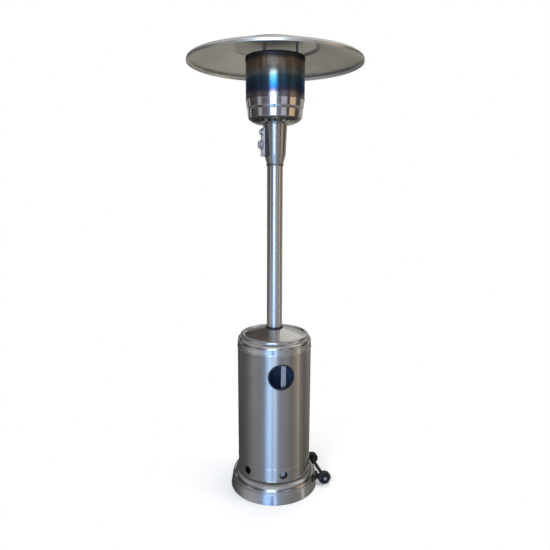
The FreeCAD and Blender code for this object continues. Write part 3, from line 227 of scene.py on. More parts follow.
class Coat(Nodes):
    """A material's nodes round one shader, on the object's own coordinates."""

    def __init__(self, name: str) -> None:
        """Starts a material.

        Args:
            name: the material's name.
        """
        self.material = bpy.data.materials.new(name)
        self.material.use_nodes = True
        super().__init__(self.material.node_tree)
        self.shader = self.add("BsdfPrincipled")
        self.coordinates = self.add("TexCoord", output="Object")

    def set(self, **feeds: object) -> None:
        """Feeds the shader's inputs, with _ for a space in a name."""
        for name, value in feeds.items():
            self.feed(self.shader.node.inputs[name.replace("_", " ")], value)

    def noise(self, scale: float, detail: float, stretch: Sequence[float] | None = None) -> Socket:
        """A noise over the object, stretched if asked.

        Args:
            scale: the noise's scale.
            detail: its octaves.
            stretch: its stretch along X, Y and Z.

        Returns:
            The noise's value.
        """
        source = self.coordinates
        if stretch:
            source = self.add("Mapping", {"Vector": source, "Scale": stretch})
        feeds = {"Vector": source, "Scale": scale, "Detail": detail, "Roughness": NOISE_ROUGHNESS}
        return self.add("TexNoise", feeds)

    def tinted(self, source: Socket, colour: Colour, tint: float, span: Span = (0.3, 0.7)) -> Socket:
        """A colour made darker and lighter by a value."""
        return self.ramp(source, list(zip(span, (shaded(colour, 1 - tint), shaded(colour, 1 + tint)))))

    def bump(self, source: Socket, strength: float, distance: float) -> None:
        """Raises the shader's normal by a value."""
        feeds = {"Height": source, "Strength": strength, "Distance": distance}
        self.set(Normal=self.add("Bump", feeds))

    def made(self) -> Material:
        """The material, with its shader shown."""
        self.show("OutputMaterial", self.shader)
        return self.material


@dataclass(frozen=True)
class Metal:
    """A metal with a fine grain and broad smudges."""

    name: str
    colour: Colour
    roughness: float
    grain: Grain
    grain_scale: float = 1.0
    tint: float = 0.08
    grain_bump: float = 0.05
    smudge: float = 0.15
    smudge_scale: float = 9.0
    anisotropy: float = 0.0
    turn: float = 0.25
    wave: float = 0.0
    wave_scale: float = 11.0
    relief: float = 0.0005

    def build(self) -> Material:
        """Makes the material.

        Returns:
            The material.
        """
        coat = Coat(self.name)
        coat.set(Metallic=1.0, Anisotropic=self.anisotropy, Anisotropic_Rotation=self.turn)
        if self.anisotropy:
            coat.set(Tangent=coat.add("Tangent", direction_type="RADIAL", axis="Z"))
        grain = coat.noise(self.grain_scale, FINE_DETAIL, self.grain.value)
        smudges = coat.noise(self.smudge_scale, SMUDGE_DETAIL)
        rough = coat.spread(smudges, self.roughness * (1 - self.smudge), self.roughness * (1 + self.smudge))
        coat.set(Base_Color=coat.tinted(grain, self.colour, self.tint), Roughness=rough)
        height = coat.add("Math", {0: grain, 1: self.grain_bump}, operation="MULTIPLY")
        if self.wave:
            waves = coat.noise(self.wave_scale, WAVE_DETAIL)
            feeds = {0: waves, 1: self.wave, 2: height}
            height = coat.add("Math", feeds, operation="MULTIPLY_ADD")
        coat.bump(height, 1.0, self.relief)
        return coat.made()


@dataclass(frozen=True)
class SpunMetal:
    """A sheet spun on a lathe, with fine rings about the Z axis and cloudy stains."""

    name: str
    colour: Colour
    roughness: float
    smudge: Span = (0.85, 1.15)
    smudge_scale: float = 11.0
    ring_scale: float = 500.0
    tint: float = 0.06
    ring_bump: float = 0.02
    relief: float = 0.0004
    stain: Colour = (0.42, 0.38, 0.31)
    stain_share: float = 0.35
    stain_scale: float = 3.2
    stain_span: Span = (0.45, 0.75)

    def build(self) -> Material:
        """Makes the material.

        Returns:
            The material.
        """
        coat = Coat(self.name)
        feeds = {0: coat.coordinates, 1: (1.0, 1.0, 0.0)}
        flat = coat.add("VectorMath", feeds, operation="MULTIPLY")
        reach = coat.add("VectorMath", {0: flat}, "Value", operation="LENGTH")
        feeds = {"W": reach, "Scale": self.ring_scale, "Detail": COARSE_DETAIL}
        rings = coat.add("TexNoise", feeds, noise_dimensions="1D")
        clouds = coat.noise(self.stain_scale, FINE_DETAIL)
        stains = coat.ramp(clouds, list(zip(self.stain_span, (WHITE, self.stain))))
        base = coat.tinted(rings, self.colour, self.tint)
        colour = coat.blend(base, stains, self.stain_share, "MULTIPLY")
        smudges = coat.noise(self.smudge_scale, SMUDGE_DETAIL)
        rough = coat.spread(smudges, *(self.roughness * share for share in self.smudge))
        coat.set(Metallic=1.0, Base_Color=colour, Roughness=rough)
        coat.bump(rings, self.ring_bump, self.relief)
        return coat.made()


@dataclass(frozen=True)
class TintedSteel:
    """Steel that heat has coloured in bands from bottom to top, with streaks of soot and a dull haze."""

    name: str
    bottom: float
    top: float
    stops: Stops
    roughness: float = 0.17
    smudge: Span = (0.8, 1.25)
    smudge_scale: float = 14.0
    waver: float = 0.045
    waver_scale: float = 9.0
    streak: Colour = (0.3, 0.29, 0.3)
    streak_share: float = 0.8
    streak_span: Span = (0.4, 0.66)
    streak_bump: float = 0.04
    relief: float = 0.0005
    edge: Colour = (0.35, 0.3, 0.32)
    haze: float = 0.42
    haze_roughness: float = 0.55
    haze_index: float = 2.0

    def build(self) -> Material:
        """Makes the material.

        Returns:
            The material.
        """
        coat = Coat(self.name)
        height = coat.add("SeparateXYZ", {"Vector": coat.coordinates}, "Z")
        level = coat.spread(height, 0.0, 1.0, self.bottom, self.top)
        shift = coat.spread(coat.noise(self.waver_scale, COARSE_DETAIL), -self.waver, self.waver)
        bands = coat.ramp(coat.add("Math", {0: level, 1: shift}, operation="ADD"), self.stops)
        streaks = coat.noise(1.0, COARSE_DETAIL, Grain.UPRIGHT.value)
        soot = coat.ramp(streaks, list(zip(self.streak_span, (WHITE, self.streak))))
        smudges = coat.noise(self.smudge_scale, SMUDGE_DETAIL)
        rough = coat.spread(smudges, *(self.roughness * share for share in self.smudge))
        coat.set(Metallic=1.0, Specular_Tint=(*self.edge, 1.0), Roughness=rough,
                 Base_Color=coat.blend(bands, soot, self.streak_share, "MULTIPLY"),
                 Coat_Weight=self.haze, Coat_Roughness=self.haze_roughness, Coat_IOR=self.haze_index)
        coat.bump(streaks, self.streak_bump, self.relief)
        return coat.made()


@dataclass(frozen=True)
class Moulded:
    """A moulded, painted or fired surface with a fine texture."""

    name: str
    colour: Colour
    roughness: float
    metallic: float = 0.0
    grain_scale: float = 900.0
    grain_bump: float = 0.12
    relief: float = 0.0002
    tint: float = 0.25
    wear_scale: float = 22.0
    wear_span: Span = (0.35, 0.7)
    smudge: Span = (0.85, 1.2)

    def build(self) -> Material:
        """Makes the material.

        Returns:
            The material.
        """
        coat = Coat(self.name)
        wear = coat.noise(self.wear_scale, FINE_DETAIL)
        rough = coat.spread(wear, *(self.roughness * share for share in self.smudge))
        coat.set(Metallic=self.metallic, Roughness=rough,
                 Base_Color=coat.tinted(wear, self.colour, self.tint, self.wear_span))
        coat.bump(coat.noise(self.grain_scale, COARSE_DETAIL), self.grain_bump, self.relief)
        return coat.made()


def emitter_finish() -> TintedSteel:
    """The colours that heat leaves on the emitter, between its bottom and its cap.

    Returns:
        The finish.
    """
    low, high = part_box("emitter_screen")
    stops = (
        (0.0, (0.5, 0.46, 0.47)), (0.09, (0.44, 0.4, 0.45)), (0.15, (0.13, 0.115, 0.26)),
        (0.21, (0.014, 0.11, 0.32)), (0.33, (0.018, 0.18, 0.37)), (0.45, (0.1, 0.28, 0.39)),
        (0.55, (0.44, 0.52, 0.52)), (0.63, (0.58, 0.53, 0.46)), (0.72, (0.61, 0.42, 0.27)),
        (0.83, (0.44, 0.29, 0.18)), (0.92, (0.08, 0.065, 0.055)), (1.0, (0.022, 0.019, 0.018)),
    )
    return TintedSteel("heat_tinted_steel", low.z, high.z, stops)


def finishes() -> dict[Slot | Look, Material]:
    """Makes every finish.

    Returns:
        The material of each slot and of each look.
    """
    made = {
        Slot.BRUSHED: Metal("brushed_stainless", (0.47, 0.46, 0.445), 0.31, Grain.AROUND, grain_bump=0.06,
                            anisotropy=0.85),
        Slot.POLISHED: Metal("polished_stainless", (0.6, 0.59, 0.575), 0.08, Grain.AROUND, grain_scale=0.6,
                             tint=0.05, grain_bump=0.015, smudge=0.35),
        Slot.ZINC: Metal("zinc_plate", (0.5, 0.555, 0.66), 0.36, Grain.EVEN, tint=0.16, grain_bump=0.08),
        Slot.HEATED: emitter_finish(),
        Slot.REFLECTOR: SpunMetal("spun_aluminium", (0.95, 0.935, 0.88), 0.33),
        Slot.PLASTIC: Moulded("black_plastic", (0.012, 0.014, 0.02), 0.38),
        Slot.RUBBER: Moulded("black_rubber", (0.010, 0.013, 0.024), 0.5, grain_scale=600.0),
        Slot.SILVER: Moulded("silver_plastic", (0.5, 0.5, 0.52), 0.3, metallic=0.85, tint=0.06,
                             grain_bump=0.05),
        Slot.BRASS: Metal("brass", (0.72, 0.5, 0.22), 0.3, Grain.EVEN, tint=0.14),
        Slot.CERAMIC: Moulded("white_ceramic", (0.78, 0.76, 0.7), 0.28, tint=0.06, grain_bump=0.04),
        Slot.PAINT: Moulded("black_paint", (0.016, 0.017, 0.02), 0.34, grain_scale=420.0, grain_bump=0.16),
        # Black for the screen's dimples: painted shade standing in for the dark inside seen through open
        # holes.
        Look.HOLE_SHADE: Moulded("soot", (0.008, 0.007, 0.007), 0.8, grain_bump=0.2),
        Look.SATIN: Metal("satin_stainless", (0.56, 0.555, 0.545), 0.18, Grain.AROUND, tint=0.07,
                          grain_bump=0.016, smudge=0.3, wave=1.8),
        Look.POLE: Metal("pole_stainless", (0.61, 0.61, 0.615), 0.27, Grain.AROUND, grain_bump=0.03,
                         anisotropy=0.5),
        Look.WORN: Metal("worn_stainless", (0.46, 0.46, 0.465), 0.18, Grain.AROUND, tint=0.1,
                         grain_bump=0.016, smudge=0.35, wave=2.4),
        # Dark steel: the real finish of the reflector posts, and painted shade on the bell's crown and the
        # head's collar.
        Look.DULLED_AND_SHADE: Metal("dulled_steel", (0.2, 0.195, 0.19), 0.42, Grain.EVEN, tint=0.2, grain_bump=0.1),
        # A bright blue inner wall: a painted reflection of the blue light seen inside the housing through
        # its hand holes.
        Look.BLUE_REFLECTION_LINING: Moulded("housing_lining", (0.36, 0.56, 1.0), 0.4, metallic=0.45, tint=0.2,
                             wear_scale=12.0),
        Look.PANEL: Moulded("pale_panel", (0.68, 0.68, 0.71), 0.32, metallic=0.4, tint=0.05,
                            grain_bump=0.04),
        # Black for the control box: painted shade for the gap seen between the face plate and the head.
        Look.BOX: Moulded("dark_box", (0.022, 0.023, 0.034), 0.4),
    }
    return {key: finish.build() for key, finish in made.items()}


# Shaping


def rounded(shape: Mesh, parts: Iterable[object], radius: float, steps: int, affect: str = "EDGES") -> None:
    """Rounds some edges of a shape, or some of its corners where affect is VERTICES."""
    bmesh.ops.bevel(shape, geom=list(parts), offset=radius, offset_type="OFFSET", segments=steps,
                    profile=0.5, affect=affect, material=-1)


def brace(shape: Mesh) -> None:
    """Splits each long edge of a section close to both its ends, so that its flat part shades flat.

    Args:
        shape: the section.
    """
    for side in shape.edges[:]:
        length = side.calc_length()
        if length < SUPPORT_GAP * 4:
            continue
        near, far = side.verts
        _, extra = bmesh.utils.edge_split(side, near, SUPPORT_GAP / length)
        rest = next(edge for edge in extra.link_edges if edge.other_vert(extra) == far)
        bmesh.utils.edge_split(rest, far, SUPPORT_GAP / rest.calc_length())


def turned(section: Section, steps: int = SHELL_STEPS, closed: bool = False) -> Mesh:
    """A section turned once round the Z axis.

    Args:
        section: corners as radius, height and rounding.
        steps: steps of the full turn.
        closed: whether the last corner joins the first.

    Returns:
        The turned mesh.
    """
    shape = bmesh.new()
    corners = [shape.verts.new((radius, 0.0, height)) for radius, height, _ in section]
    following = corners[1:] + corners[:1] if closed else corners[1:]
    for start, end in zip(corners, following):
        shape.edges.new((start, end))
    for corner, (_, _, rounding) in zip(corners, section):
        if rounding:
            fine = min(MOST_CORNER_STEPS, round(rounding / CORNER_PITCH))
            rounded(shape, [corner], rounding, max(FEWEST_CORNER_STEPS, fine), "VERTICES")
    brace(shape)
    bmesh.ops.spin(shape, geom=shape.verts[:] + shape.edges[:], cent=(0, 0, 0), axis=(0, 0, 1),
                   dvec=(0, 0, 0), angle=math.tau, steps=steps, use_merge=True)
    bmesh.ops.remove_doubles(shape, verts=shape.verts, dist=MERGE_GAP)
    bmesh.ops.recalc_face_normals(shape, faces=shape.faces)
    return shape


def slab(size: Sequence[float], rounding: float, steps: int = 2) -> Mesh:
    """A block about the origin with rounded edges.

    Args:
        size: lengths along X, Y and Z.
        rounding: radius of every edge.
        steps: steps of the rounding.

    Returns:
        The block.
    """
    shape = bmesh.new()
    bmesh.ops.create_cube(shape, size=1.0, matrix=Matrix.Diagonal((*size, 1.0)))
    rounded(shape, shape.edges, rounding, steps)
    return shape


def plate(size: Vector, corner: float, edge: float) -> Mesh:
    """A plate in the XZ plane with round corners and softened rims.

    Args:
        size: lengths along X, Y and Z.
        corner: radius of the four corners.
        edge: radius of the rims.

    Returns:
        The plate.
    """
    shape = bmesh.new()
    bmesh.ops.create_cube(shape, size=1.0, matrix=Matrix.Diagonal((*size, 1.0)))
    posts = [side for side in shape.edges if abs(side.verts[0].co.y - side.verts[1].co.y) > size.y / 2]
    rounded(shape, posts, corner, PLATE_CORNER_STEPS)
    faces = [face for face in shape.faces if abs(face.normal.y) > SQUARE_ON]
    rounded(shape, {side for face in faces for side in face.edges}, edge, 2)
    return shape


def drill_bit(radius: float, length: float, place: Matrix, steps: int = ROD_STEPS) -> Mesh:
    """A closed cylinder along Z about the origin, then placed.

    Args:
        radius: its radius.
        length: its length.
        place: where it goes.
        steps: steps of its round.

    Returns:
        The cylinder.
    """
    shape = bmesh.new()
    bmesh.ops.create_cone(shape, cap_ends=True, segments=steps, radius1=radius, radius2=radius,
                          depth=length, matrix=place)
    return shape


def half_round(radius: float, low: float, stand: float, height: float) -> Section:
    """The closed section of a bead that stands out from an upright wall of a radius."""
    inner, outer, high = radius - stand / 2, radius + stand, low + height
    return [(inner, low, 0.0), (outer, low, stand), (outer, high, stand), (inner, high, 0.0)]


def turns(count: int, whole: float = math.tau) -> list[Matrix]:
    """Turns about the Z axis in equal steps."""
    return [Matrix.Rotation(whole / count * index, 4, "Z") for index in range(count)]


def middle(node: str) -> Vector:
    """The middle of a solid's box."""
    low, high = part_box(node)
    return (low + high) / 2


def placed(shape: Mesh, place: Matrix) -> Mesh:
    """A shape moved to its place."""
    bmesh.ops.transform(shape, matrix=place, verts=shape.verts)
    return shape


def joined(name: str, *shapes: Mesh) -> Piece:
    """Joins shapes into one piece at the origin.

    Args:
        name: the piece's name.
        shapes: the shapes, which are used up.

    Returns:
        The piece.
    """
    mesh = bpy.data.meshes.new(name)
    whole = bmesh.new()
    for shape in shapes:
        shape.to_mesh(mesh)
        shape.free()
        whole.from_mesh(mesh)
    whole.to_mesh(mesh)
    whole.free()
    piece = bpy.data.objects.new(name, mesh)
    bpy.context.scene.collection.objects.link(piece)
    return piece


def sheet(name: str, section: Section, wall: float) -> Piece:
    """A piece turned as a sheet, with its thickness inwards.

    Args:
        name: the piece's name.
        section: the sheet's outer side.
        wall: its thickness.

    Returns:
        The piece.
    """
    piece = joined(name, turned(section))
    thickness = piece.modifiers.new("wall", "SOLIDIFY")
    thickness.thickness = wall
    thickness.offset = -1.0
    thickness.use_even_offset = True
    return piece


def ring(name: str, section: Section, steps: int = SHELL_STEPS, place: Matrix = Matrix()) -> Piece:
    """A piece turned from a closed section."""
    return joined(name, placed(turned(section, steps, closed=True), place))


def settle(piece: Piece) -> None:
    """Applies a piece's modifiers and shades it smooth between its sharp edges.

    Args:
        piece: the piece.
    """
    if piece.modifiers:
        graph = bpy.context.evaluated_depsgraph_get()
        mesh = bpy.data.meshes.new_from_object(piece.evaluated_get(graph))
        spare = piece.data
        piece.modifiers.clear()
        piece.data = mesh
        bpy.data.meshes.remove(spare)
        mesh.name = piece.name
    piece.data.shade_smooth()
    piece.data.set_sharp_from_angle(angle=SHARP_ANGLE)


def pierce(piece: Piece, cutters: Iterable[Mesh]) -> None:
    """Cuts shapes out of a piece and settles it.

    Args:
        piece: the piece.
        cutters: closed shapes.
    """
    tool = joined("punch", *cutters)
    cut = piece.modifiers.new("holes", "BOOLEAN")
    cut.operation = "DIFFERENCE"
    cut.solver = "EXACT"
    cut.object = tool
    bpy.context.view_layer.update()
    settle(piece)
    store = tool.data
    bpy.data.objects.remove(tool)
    bpy.data.meshes.remove(store)


@dataclass
class Assembly:
    """A group of pieces, which get their finish, chosen by slot or look, and their body here."""

    finishes: dict[Slot | Look, Material]

    def dress(self, piece: Piece, body: Body, slot: Slot, *nodes: str, look: Look | None = None) -> None:
        """Settles and finishes a piece.

        Args:
            piece: the piece.
            body: the body that it moves with.
            slot: the slot of its finish.
            nodes: the solids that it stands for.
            look: a finish in place of the slot's usual one.
        """
        settle(piece)
        piece.data.materials.clear()
        piece.data.materials.append(self.finishes[look or slot])
        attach(piece, body.value)
        if nodes:
            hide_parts(*nodes)
        LOG.info("%s on %s with %s", piece.name, body.value, slot.value)

    def recoat(self, piece: Piece, finish: Slot | Look, chosen: Callable[[Vector], bool]) -> None:
        """Gives some of a piece's faces another finish.

        Args:
            piece: the piece.
            finish: the other finish.
            chosen: tells from a face's middle whether it is one of them.
        """
        piece.data.materials.append(self.finishes[finish])
        for face in piece.data.polygons:
            if chosen(face.center):
                face.material_index = 1


def dress_solids(made: dict[Slot | Look, Material]) -> None:
    """Gives every solid of the frame the finish of its slot.

    Args:
        made: the finishes.
    """
    for row in frame["record"]["subparts"]:
        solid = frame["nodes"][row["node"]]
        solid.data.materials.clear()
        solid.data.materials.append(made[Slot(row["material_slot"])])
        LOG.info("%s with %s", row["node"], row["material_slot"])


# Sub-assemblies


@dataclass
class Base(Assembly):
    """The pressed bell on the floor and the vented ring on it."""

    wall: float = 0.0015
    rim_width: float = 0.009
    flare: float = 0.0075
    band_height: float = 0.052
    step_width: float = 0.0025
    step_height: float = 0.002
    bell_radius: float = 0.2149
    bell_height: float = 0.0822
    bell_round: float = 0.0268
    crown_radius: float = 0.188
    crown_edge: float = 0.004
    painted_shade_reach: float = 0.193
    drain_radius: float = 0.007
    ring_wall: float = 0.0012
    ring_flange: float = 0.011
    bead: float = 0.0014
    bead_height: float = 0.005
    shelf: float = 0.0018
    vent_radius: float = 0.02
    vent_rise: float = 0.0355
    vent_pairs: int = 3
    fold: float = 0.0009

    def build(self) -> None:
        """Makes the bell and the ring."""
        self.bell()
        self.vented_ring()

    def bell(self) -> None:
        """The worn bell, turned as a sheet, with its crown darkened as painted shade."""
        low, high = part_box("base_shell")
        radius = high.x
        band = radius - self.flare
        section = [
            (radius - self.rim_width, low.z, 0.0),
            (radius, low.z, self.wall),
            (band, self.band_height, self.fold),
            (band - self.step_width, self.band_height + self.step_height, self.fold),
            (self.bell_radius, self.bell_height, self.bell_round),
            (self.crown_radius, high.z - self.crown_edge, self.fold * 2),
            (self.crown_radius - self.crown_edge, high.z, self.fold * 2),
            (self.drain_radius, high.z, 0.0),
        ]
        piece = sheet("base_bell", section, self.wall)
        self.dress(piece, Body.BASE, Slot.POLISHED, "base_shell", look=Look.WORN)
        # The crown under the vented ring takes the dark steel: painted shade, not a finish of its own.
        self.recoat(piece, Look.DULLED_AND_SHADE, lambda centre: centre.xy.length < self.painted_shade_reach)

    def vented_ring(self) -> None:
        """The upright ring with round vents and a bead at its foot."""
        low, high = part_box("vent_ring")
        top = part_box("cover_shell")[0].z
        radius = high.x
        section = [
            (radius - self.ring_flange, low.z, 0.0),
            (radius, low.z, self.fold),
            (radius, top, self.fold),
            (radius - self.shelf, top, 0.0),
            (radius - self.shelf, high.z, 0.0),
        ]
        piece = sheet("vented_ring", section, self.ring_wall)
        level = Matrix.Translation((0, 0, low.z + self.vent_rise))
        length = radius * BIT_LENGTH_IN_RADII
        pierce(piece, [drill_bit(self.vent_radius, length, level @ turn @ SIDEWAYS)
                       for turn in turns(self.vent_pairs, math.pi)])
        self.dress(piece, Body.BASE, Slot.BRUSHED, "vent_ring")
        bead = half_round(radius, low.z, self.bead, self.bead_height)
        self.dress(ring("ring_bead", bead), Body.BASE, Slot.POLISHED, "vent_ring")


@dataclass
class TankHousing(Assembly):
    """The cylinder round the gas bottle, its shoulder and its hand holes."""

    wall: float = 0.001
    hem_height: float = 0.006
    hem_width: float = 0.0008
    turn: float = math.radians(-4)
    hole_radius: float = 0.061
    hole_drop: float = 0.11
    trim_reach: float = 0.004
    trim_depth: float = 0.0035
    trim_stand: float = 0.0014
    trim_round: float = 0.0012
    skirt_gap: float = 0.0012
    skirt_height: float = 0.009
    seam_stand: float = 0.0009
    seam_height: float = 0.0045
    shoulder_rise: float = 0.028
    shoulder_path: tuple[Corner, ...] = (
        (0.0036, 0.0451, 0.0170), (-0.0120, 0.0530, 0.0004), (-0.0145, 0.0555, 0.0004),
        (-0.0114, 0.0715, 0.0156), (-0.0275, 0.0690, 0.0005), (-0.0310, 0.0630, 0.0008),
        (-0.0350, 0.0630, 0.0008),
    )
    neck_radius: float = 0.0425
    neck_rise: float = 0.095
    neck_round: float = 0.002
    fold: float = 0.0005

    def build(self) -> None:
        """Makes the housing."""
        self.shell()
        self.shoulder()
        self.trim("right_hand_hole_trim", 0.0)
        self.trim("left_hand_hole_trim", math.pi)

    def hole_place(self, angle: float) -> Matrix:
        """The middle of the housing at the hand holes' height, turned from the hole at +X."""
        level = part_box("cover_shell")[1].z - self.hole_drop
        return Matrix.Translation((0, 0, level)) @ Matrix.Rotation(self.turn + angle, 4, "Z")

    def shell(self) -> None:
        """The brushed cylinder with its hem and hand holes."""
        low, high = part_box("cover_shell")
        radius = high.x - self.hem_width
        piece = sheet("housing_shell", [(radius, low.z, 0.0), (radius, high.z, 0.0)], self.wall)
        length = high.x * BIT_LENGTH_IN_RADII
        pierce(piece, [drill_bit(self.hole_radius, length, self.hole_place(0.0) @ SIDEWAYS, HOLE_STEPS)])
        self.dress(piece, Body.COVER, Slot.BRUSHED, "cover_shell")
        # The inner wall is coloured bright blue: a painted reflection of the blue light seen inside through
        # the hand holes.
        inside = radius - self.wall / 2
        self.recoat(piece, Look.BLUE_REFLECTION_LINING, lambda centre: centre.xy.length < inside)
        bead = half_round(radius, low.z, self.hem_width, self.hem_height)
        self.dress(ring("housing_hem", bead), Body.COVER, Slot.POLISHED, "cover_shell")

    def shoulder(self) -> None:
        """The satin shoulder and cone, with the neck coloured black as a painted shadow of the gap round
        the pole, and a bead at the seam.
        """
        low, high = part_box("cover_top")
        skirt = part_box("cover_shell")[1].x - self.hem_width + self.skirt_gap
        radius = skirt - self.skirt_gap
        section = [
            (skirt, low.z, self.fold),
            (skirt, low.z + self.skirt_height, self.fold),
            (radius, low.z + self.skirt_height, 0.0),
            (radius, low.z + self.shoulder_rise, 0.0),
        ]
        section += [(radius + reach, low.z + rise, rounding)
                    for reach, rise, rounding in self.shoulder_path]
        section.append((self.neck_radius, low.z + self.neck_rise, self.neck_round))
        section.append((self.neck_radius, high.z, 0.0))
        piece = sheet("housing_shoulder", section, self.wall)
        self.dress(piece, Body.COVER, Slot.POLISHED, "cover_top", look=Look.SATIN)
        # The neck takes the black rubber finish: a painted shadow of the clearance gap round the pole, not
        # a real strip.
        strip = self.neck_radius + self.neck_round
        self.recoat(piece, Slot.RUBBER, lambda centre: centre.xy.length < strip)
        bead = half_round(skirt, low.z, self.seam_stand, self.seam_height)
        self.dress(ring("shoulder_seam", bead), Body.COVER, Slot.POLISHED, "cover_top")

    def trim(self, node: str, angle: float) -> None:
        """A moulded edge strip round a hand hole.

        Args:
            node: the solid that it stands for.
            angle: turn about the Z axis from the hole at +X.
        """
        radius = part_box("cover_shell")[1].x - self.hem_width
        outer, inner = self.hole_radius + self.trim_reach, self.hole_radius - self.trim_depth
        front, back = self.trim_stand, -self.wall - self.trim_stand
        path = ((inner, back), (outer, back), (outer, front), (inner, front))
        section = [(*corner, self.trim_round) for corner in path]
        shape = placed(turned(section, HOLE_STEPS, closed=True), SIDEWAYS)
        for point in shape.verts:
            point.co.x += math.sqrt(radius ** 2 - point.co.y ** 2)
        piece = joined(f"{node}_strip", placed(shape, self.hole_place(angle)))
        self.dress(piece, Body.COVER, Slot.RUBBER, node)


@dataclass
class Stem(Assembly):
    """The pole and the round head on it."""

    wall: float = 0.0015
    head_wall: float = 0.001
    collar_height: float = 0.01
    collar_round: float = 0.002
    collar_edge: float = 0.000375
    waist_rise: float = 0.052
    waist_round: float = 0.004
    collar_radius: float = 0.0393
    waist_radius: float = 0.051
    head_radius: float = 0.057
    flange_width: float = 0.013
    edge: float = 0.0012

    def build(self) -> None:
        """Makes the pole and the head."""
        low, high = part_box("pole")
        outer, inner = high.x, high.x - self.wall
        section = [(inner, low.z, 0.0), (outer, low.z, 0.0), (outer, high.z, 0.0), (inner, high.z, 0.0)]
        self.dress(ring("stem_pole", section), Body.BASE, Slot.BRUSHED, "pole", look=Look.POLE)
        low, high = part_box("head_housing")
        brow = low.z + self.collar_height
        section = [
            (self.collar_radius, low.z, self.collar_edge),
            (self.collar_radius, brow, self.collar_round),
            (self.waist_radius, low.z + self.waist_rise, self.waist_round),
            (self.head_radius, high.z, self.edge),
            (self.head_radius - self.flange_width, high.z, 0.0),
        ]
        piece = sheet("head_shell", section, self.head_wall)
        self.dress(piece, Body.BASE, Slot.BRUSHED, "head_housing")
        # The collar at the head's foot takes the dark steel: a painted shadow where the head meets the
        # pole.
        self.recoat(piece, Look.DULLED_AND_SHADE, lambda centre: centre.z < brow)


@dataclass
class Controls(Assembly):
    """The control box with its face plate, knob and igniter."""

    box_round: float = 0.0025
    box_depth: float = 0.036
    plate_corner: float = 0.007
    plate_edge: float = 0.0005
    skirt_height: float = 0.0048
    skirt_round: float = 0.0012
    dish: float = 0.0008
    grip_radius: float = 0.017
    grip_flutes: int = 22
    flute_share: float = 0.94
    grip_round: float = 0.0012
    pointer_width: float = 0.0022
    pointer_length: float = 0.013
    pointer_height: float = 0.0012
    bezel_round: float = 0.002
    bezel_hole: float = 0.0112
    button_radius: float = 0.0108
    button_round: float = 0.0028
    button_dish: float = 0.0009

    def build(self) -> None:
        """Makes the control panel."""
        low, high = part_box("control_box")
        size = (high.x - low.x, self.box_depth, high.z - low.z)
        place = Matrix.Translation((0, low.y + self.box_depth / 2, (low.z + high.z) / 2))
        piece = joined("panel_box", placed(slab(size, self.box_round, 3), place))
        # The control box is black: painted shade for the gap seen between the face plate and the head.
        self.dress(piece, Body.BASE, Slot.BRUSHED, "control_box", look=Look.BOX)
        low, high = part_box("face_plate")
        shape = plate(high - low, self.plate_corner, self.plate_edge)
        piece = joined("panel_face", placed(shape, Matrix.Translation(middle("face_plate"))))
        self.dress(piece, Body.BASE, Slot.BRUSHED, "face_plate", look=Look.PANEL)
        self.knob()
        self.igniter()

    def outward(self, node: str) -> tuple[Matrix, float, float]:
        """The place of a round piece on the panel.

        Args:
            node: the solid that it stands for.

        Returns:
            A matrix that turns +Z towards the user, the piece's radius and its length.
        """
        low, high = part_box(node)
        foot = Matrix.Translation((0, high.y, (low.z + high.z) / 2))
        return foot @ Matrix.Rotation(QUARTER, 4, "X"), (high.x - low.x) / 2, high.y - low.y

    def grip(self, height: float) -> Mesh:
        """The fluted grip of the knob, standing on its skirt.

        Args:
            height: its height.

        Returns:
            The grip.
        """
        shape = bmesh.new()
        bmesh.ops.create_circle(shape, cap_ends=True, segments=self.grip_flutes * 2,
                                radius=self.grip_radius)
        for point in list(shape.verts)[1::2]:
            point.co *= self.flute_share
        raised = bmesh.ops.extrude_face_region(shape, geom=shape.faces[:])["geom"]
        points = [item for item in raised if isinstance(item, bmesh.types.BMVert)]
        bmesh.ops.translate(shape, verts=points, vec=(0, 0, height))
        bmesh.ops.recalc_face_normals(shape, faces=shape.faces)
        tops = [item for item in raised if isinstance(item, bmesh.types.BMEdge)]
        rounded(shape, tops, self.grip_round, 3)
        bmesh.ops.translate(shape, verts=shape.verts, vec=(0, 0, self.skirt_height))
        return shape

    def knob(self) -> None:
        """The round knob with a fluted grip and a dark pointer."""
        place, radius, length = self.outward("control_knob")
        skirt = [
            (0.0, 0.0, 0.0),
            (radius, 0.0, self.skirt_round / 2),
            (radius, self.skirt_height, self.skirt_round),
            (self.grip_radius, self.skirt_height + self.dish, self.skirt_round / 2),
            (0.0, self.skirt_height + self.dish, 0.0),
        ]
        grip = self.grip(length - self.skirt_height)
        piece = joined("knob_grip", placed(turned(skirt, ROD_STEPS), place), placed(grip, place))
        self.dress(piece, Body.KNOB, Slot.SILVER, "control_knob")
        mark = slab((self.pointer_width, self.pointer_length, self.pointer_height), self.pointer_width / 8)
        shift = Matrix.Translation((0, self.pointer_length / 2, length - self.pointer_height / 3))
        piece = joined("knob_pointer", placed(mark, place @ shift))
        self.dress(piece, Body.KNOB, Slot.PLASTIC)

    def igniter(self) -> None:
        """The bezel and the button of the igniter."""
        place, radius, length = self.outward("igniter_bezel")
        bezel = [
            (self.bezel_hole, 0.0, 0.0),
            (radius, 0.0, self.plate_edge),
            (radius, length, self.bezel_round),
            (self.bezel_hole, length, self.plate_edge),
        ]
        piece = ring("igniter_ring", bezel, ROD_STEPS, place)
        self.dress(piece, Body.BASE, Slot.SILVER, "igniter_bezel")
        place, _, length = self.outward("igniter_button")
        plunger = [
            (0.0, 0.0, 0.0),
            (self.button_radius, 0.0, 0.0),
            (self.button_radius, length, self.button_round),
            (self.button_radius / 2, length - self.button_dish, self.button_round / 2),
            (0.0, length - self.button_dish, 0.0),
        ]
        piece = joined("igniter_plunger", placed(turned(plunger, ROD_STEPS), place))
        self.dress(piece, Body.BUTTON, Slot.SILVER, "igniter_button")


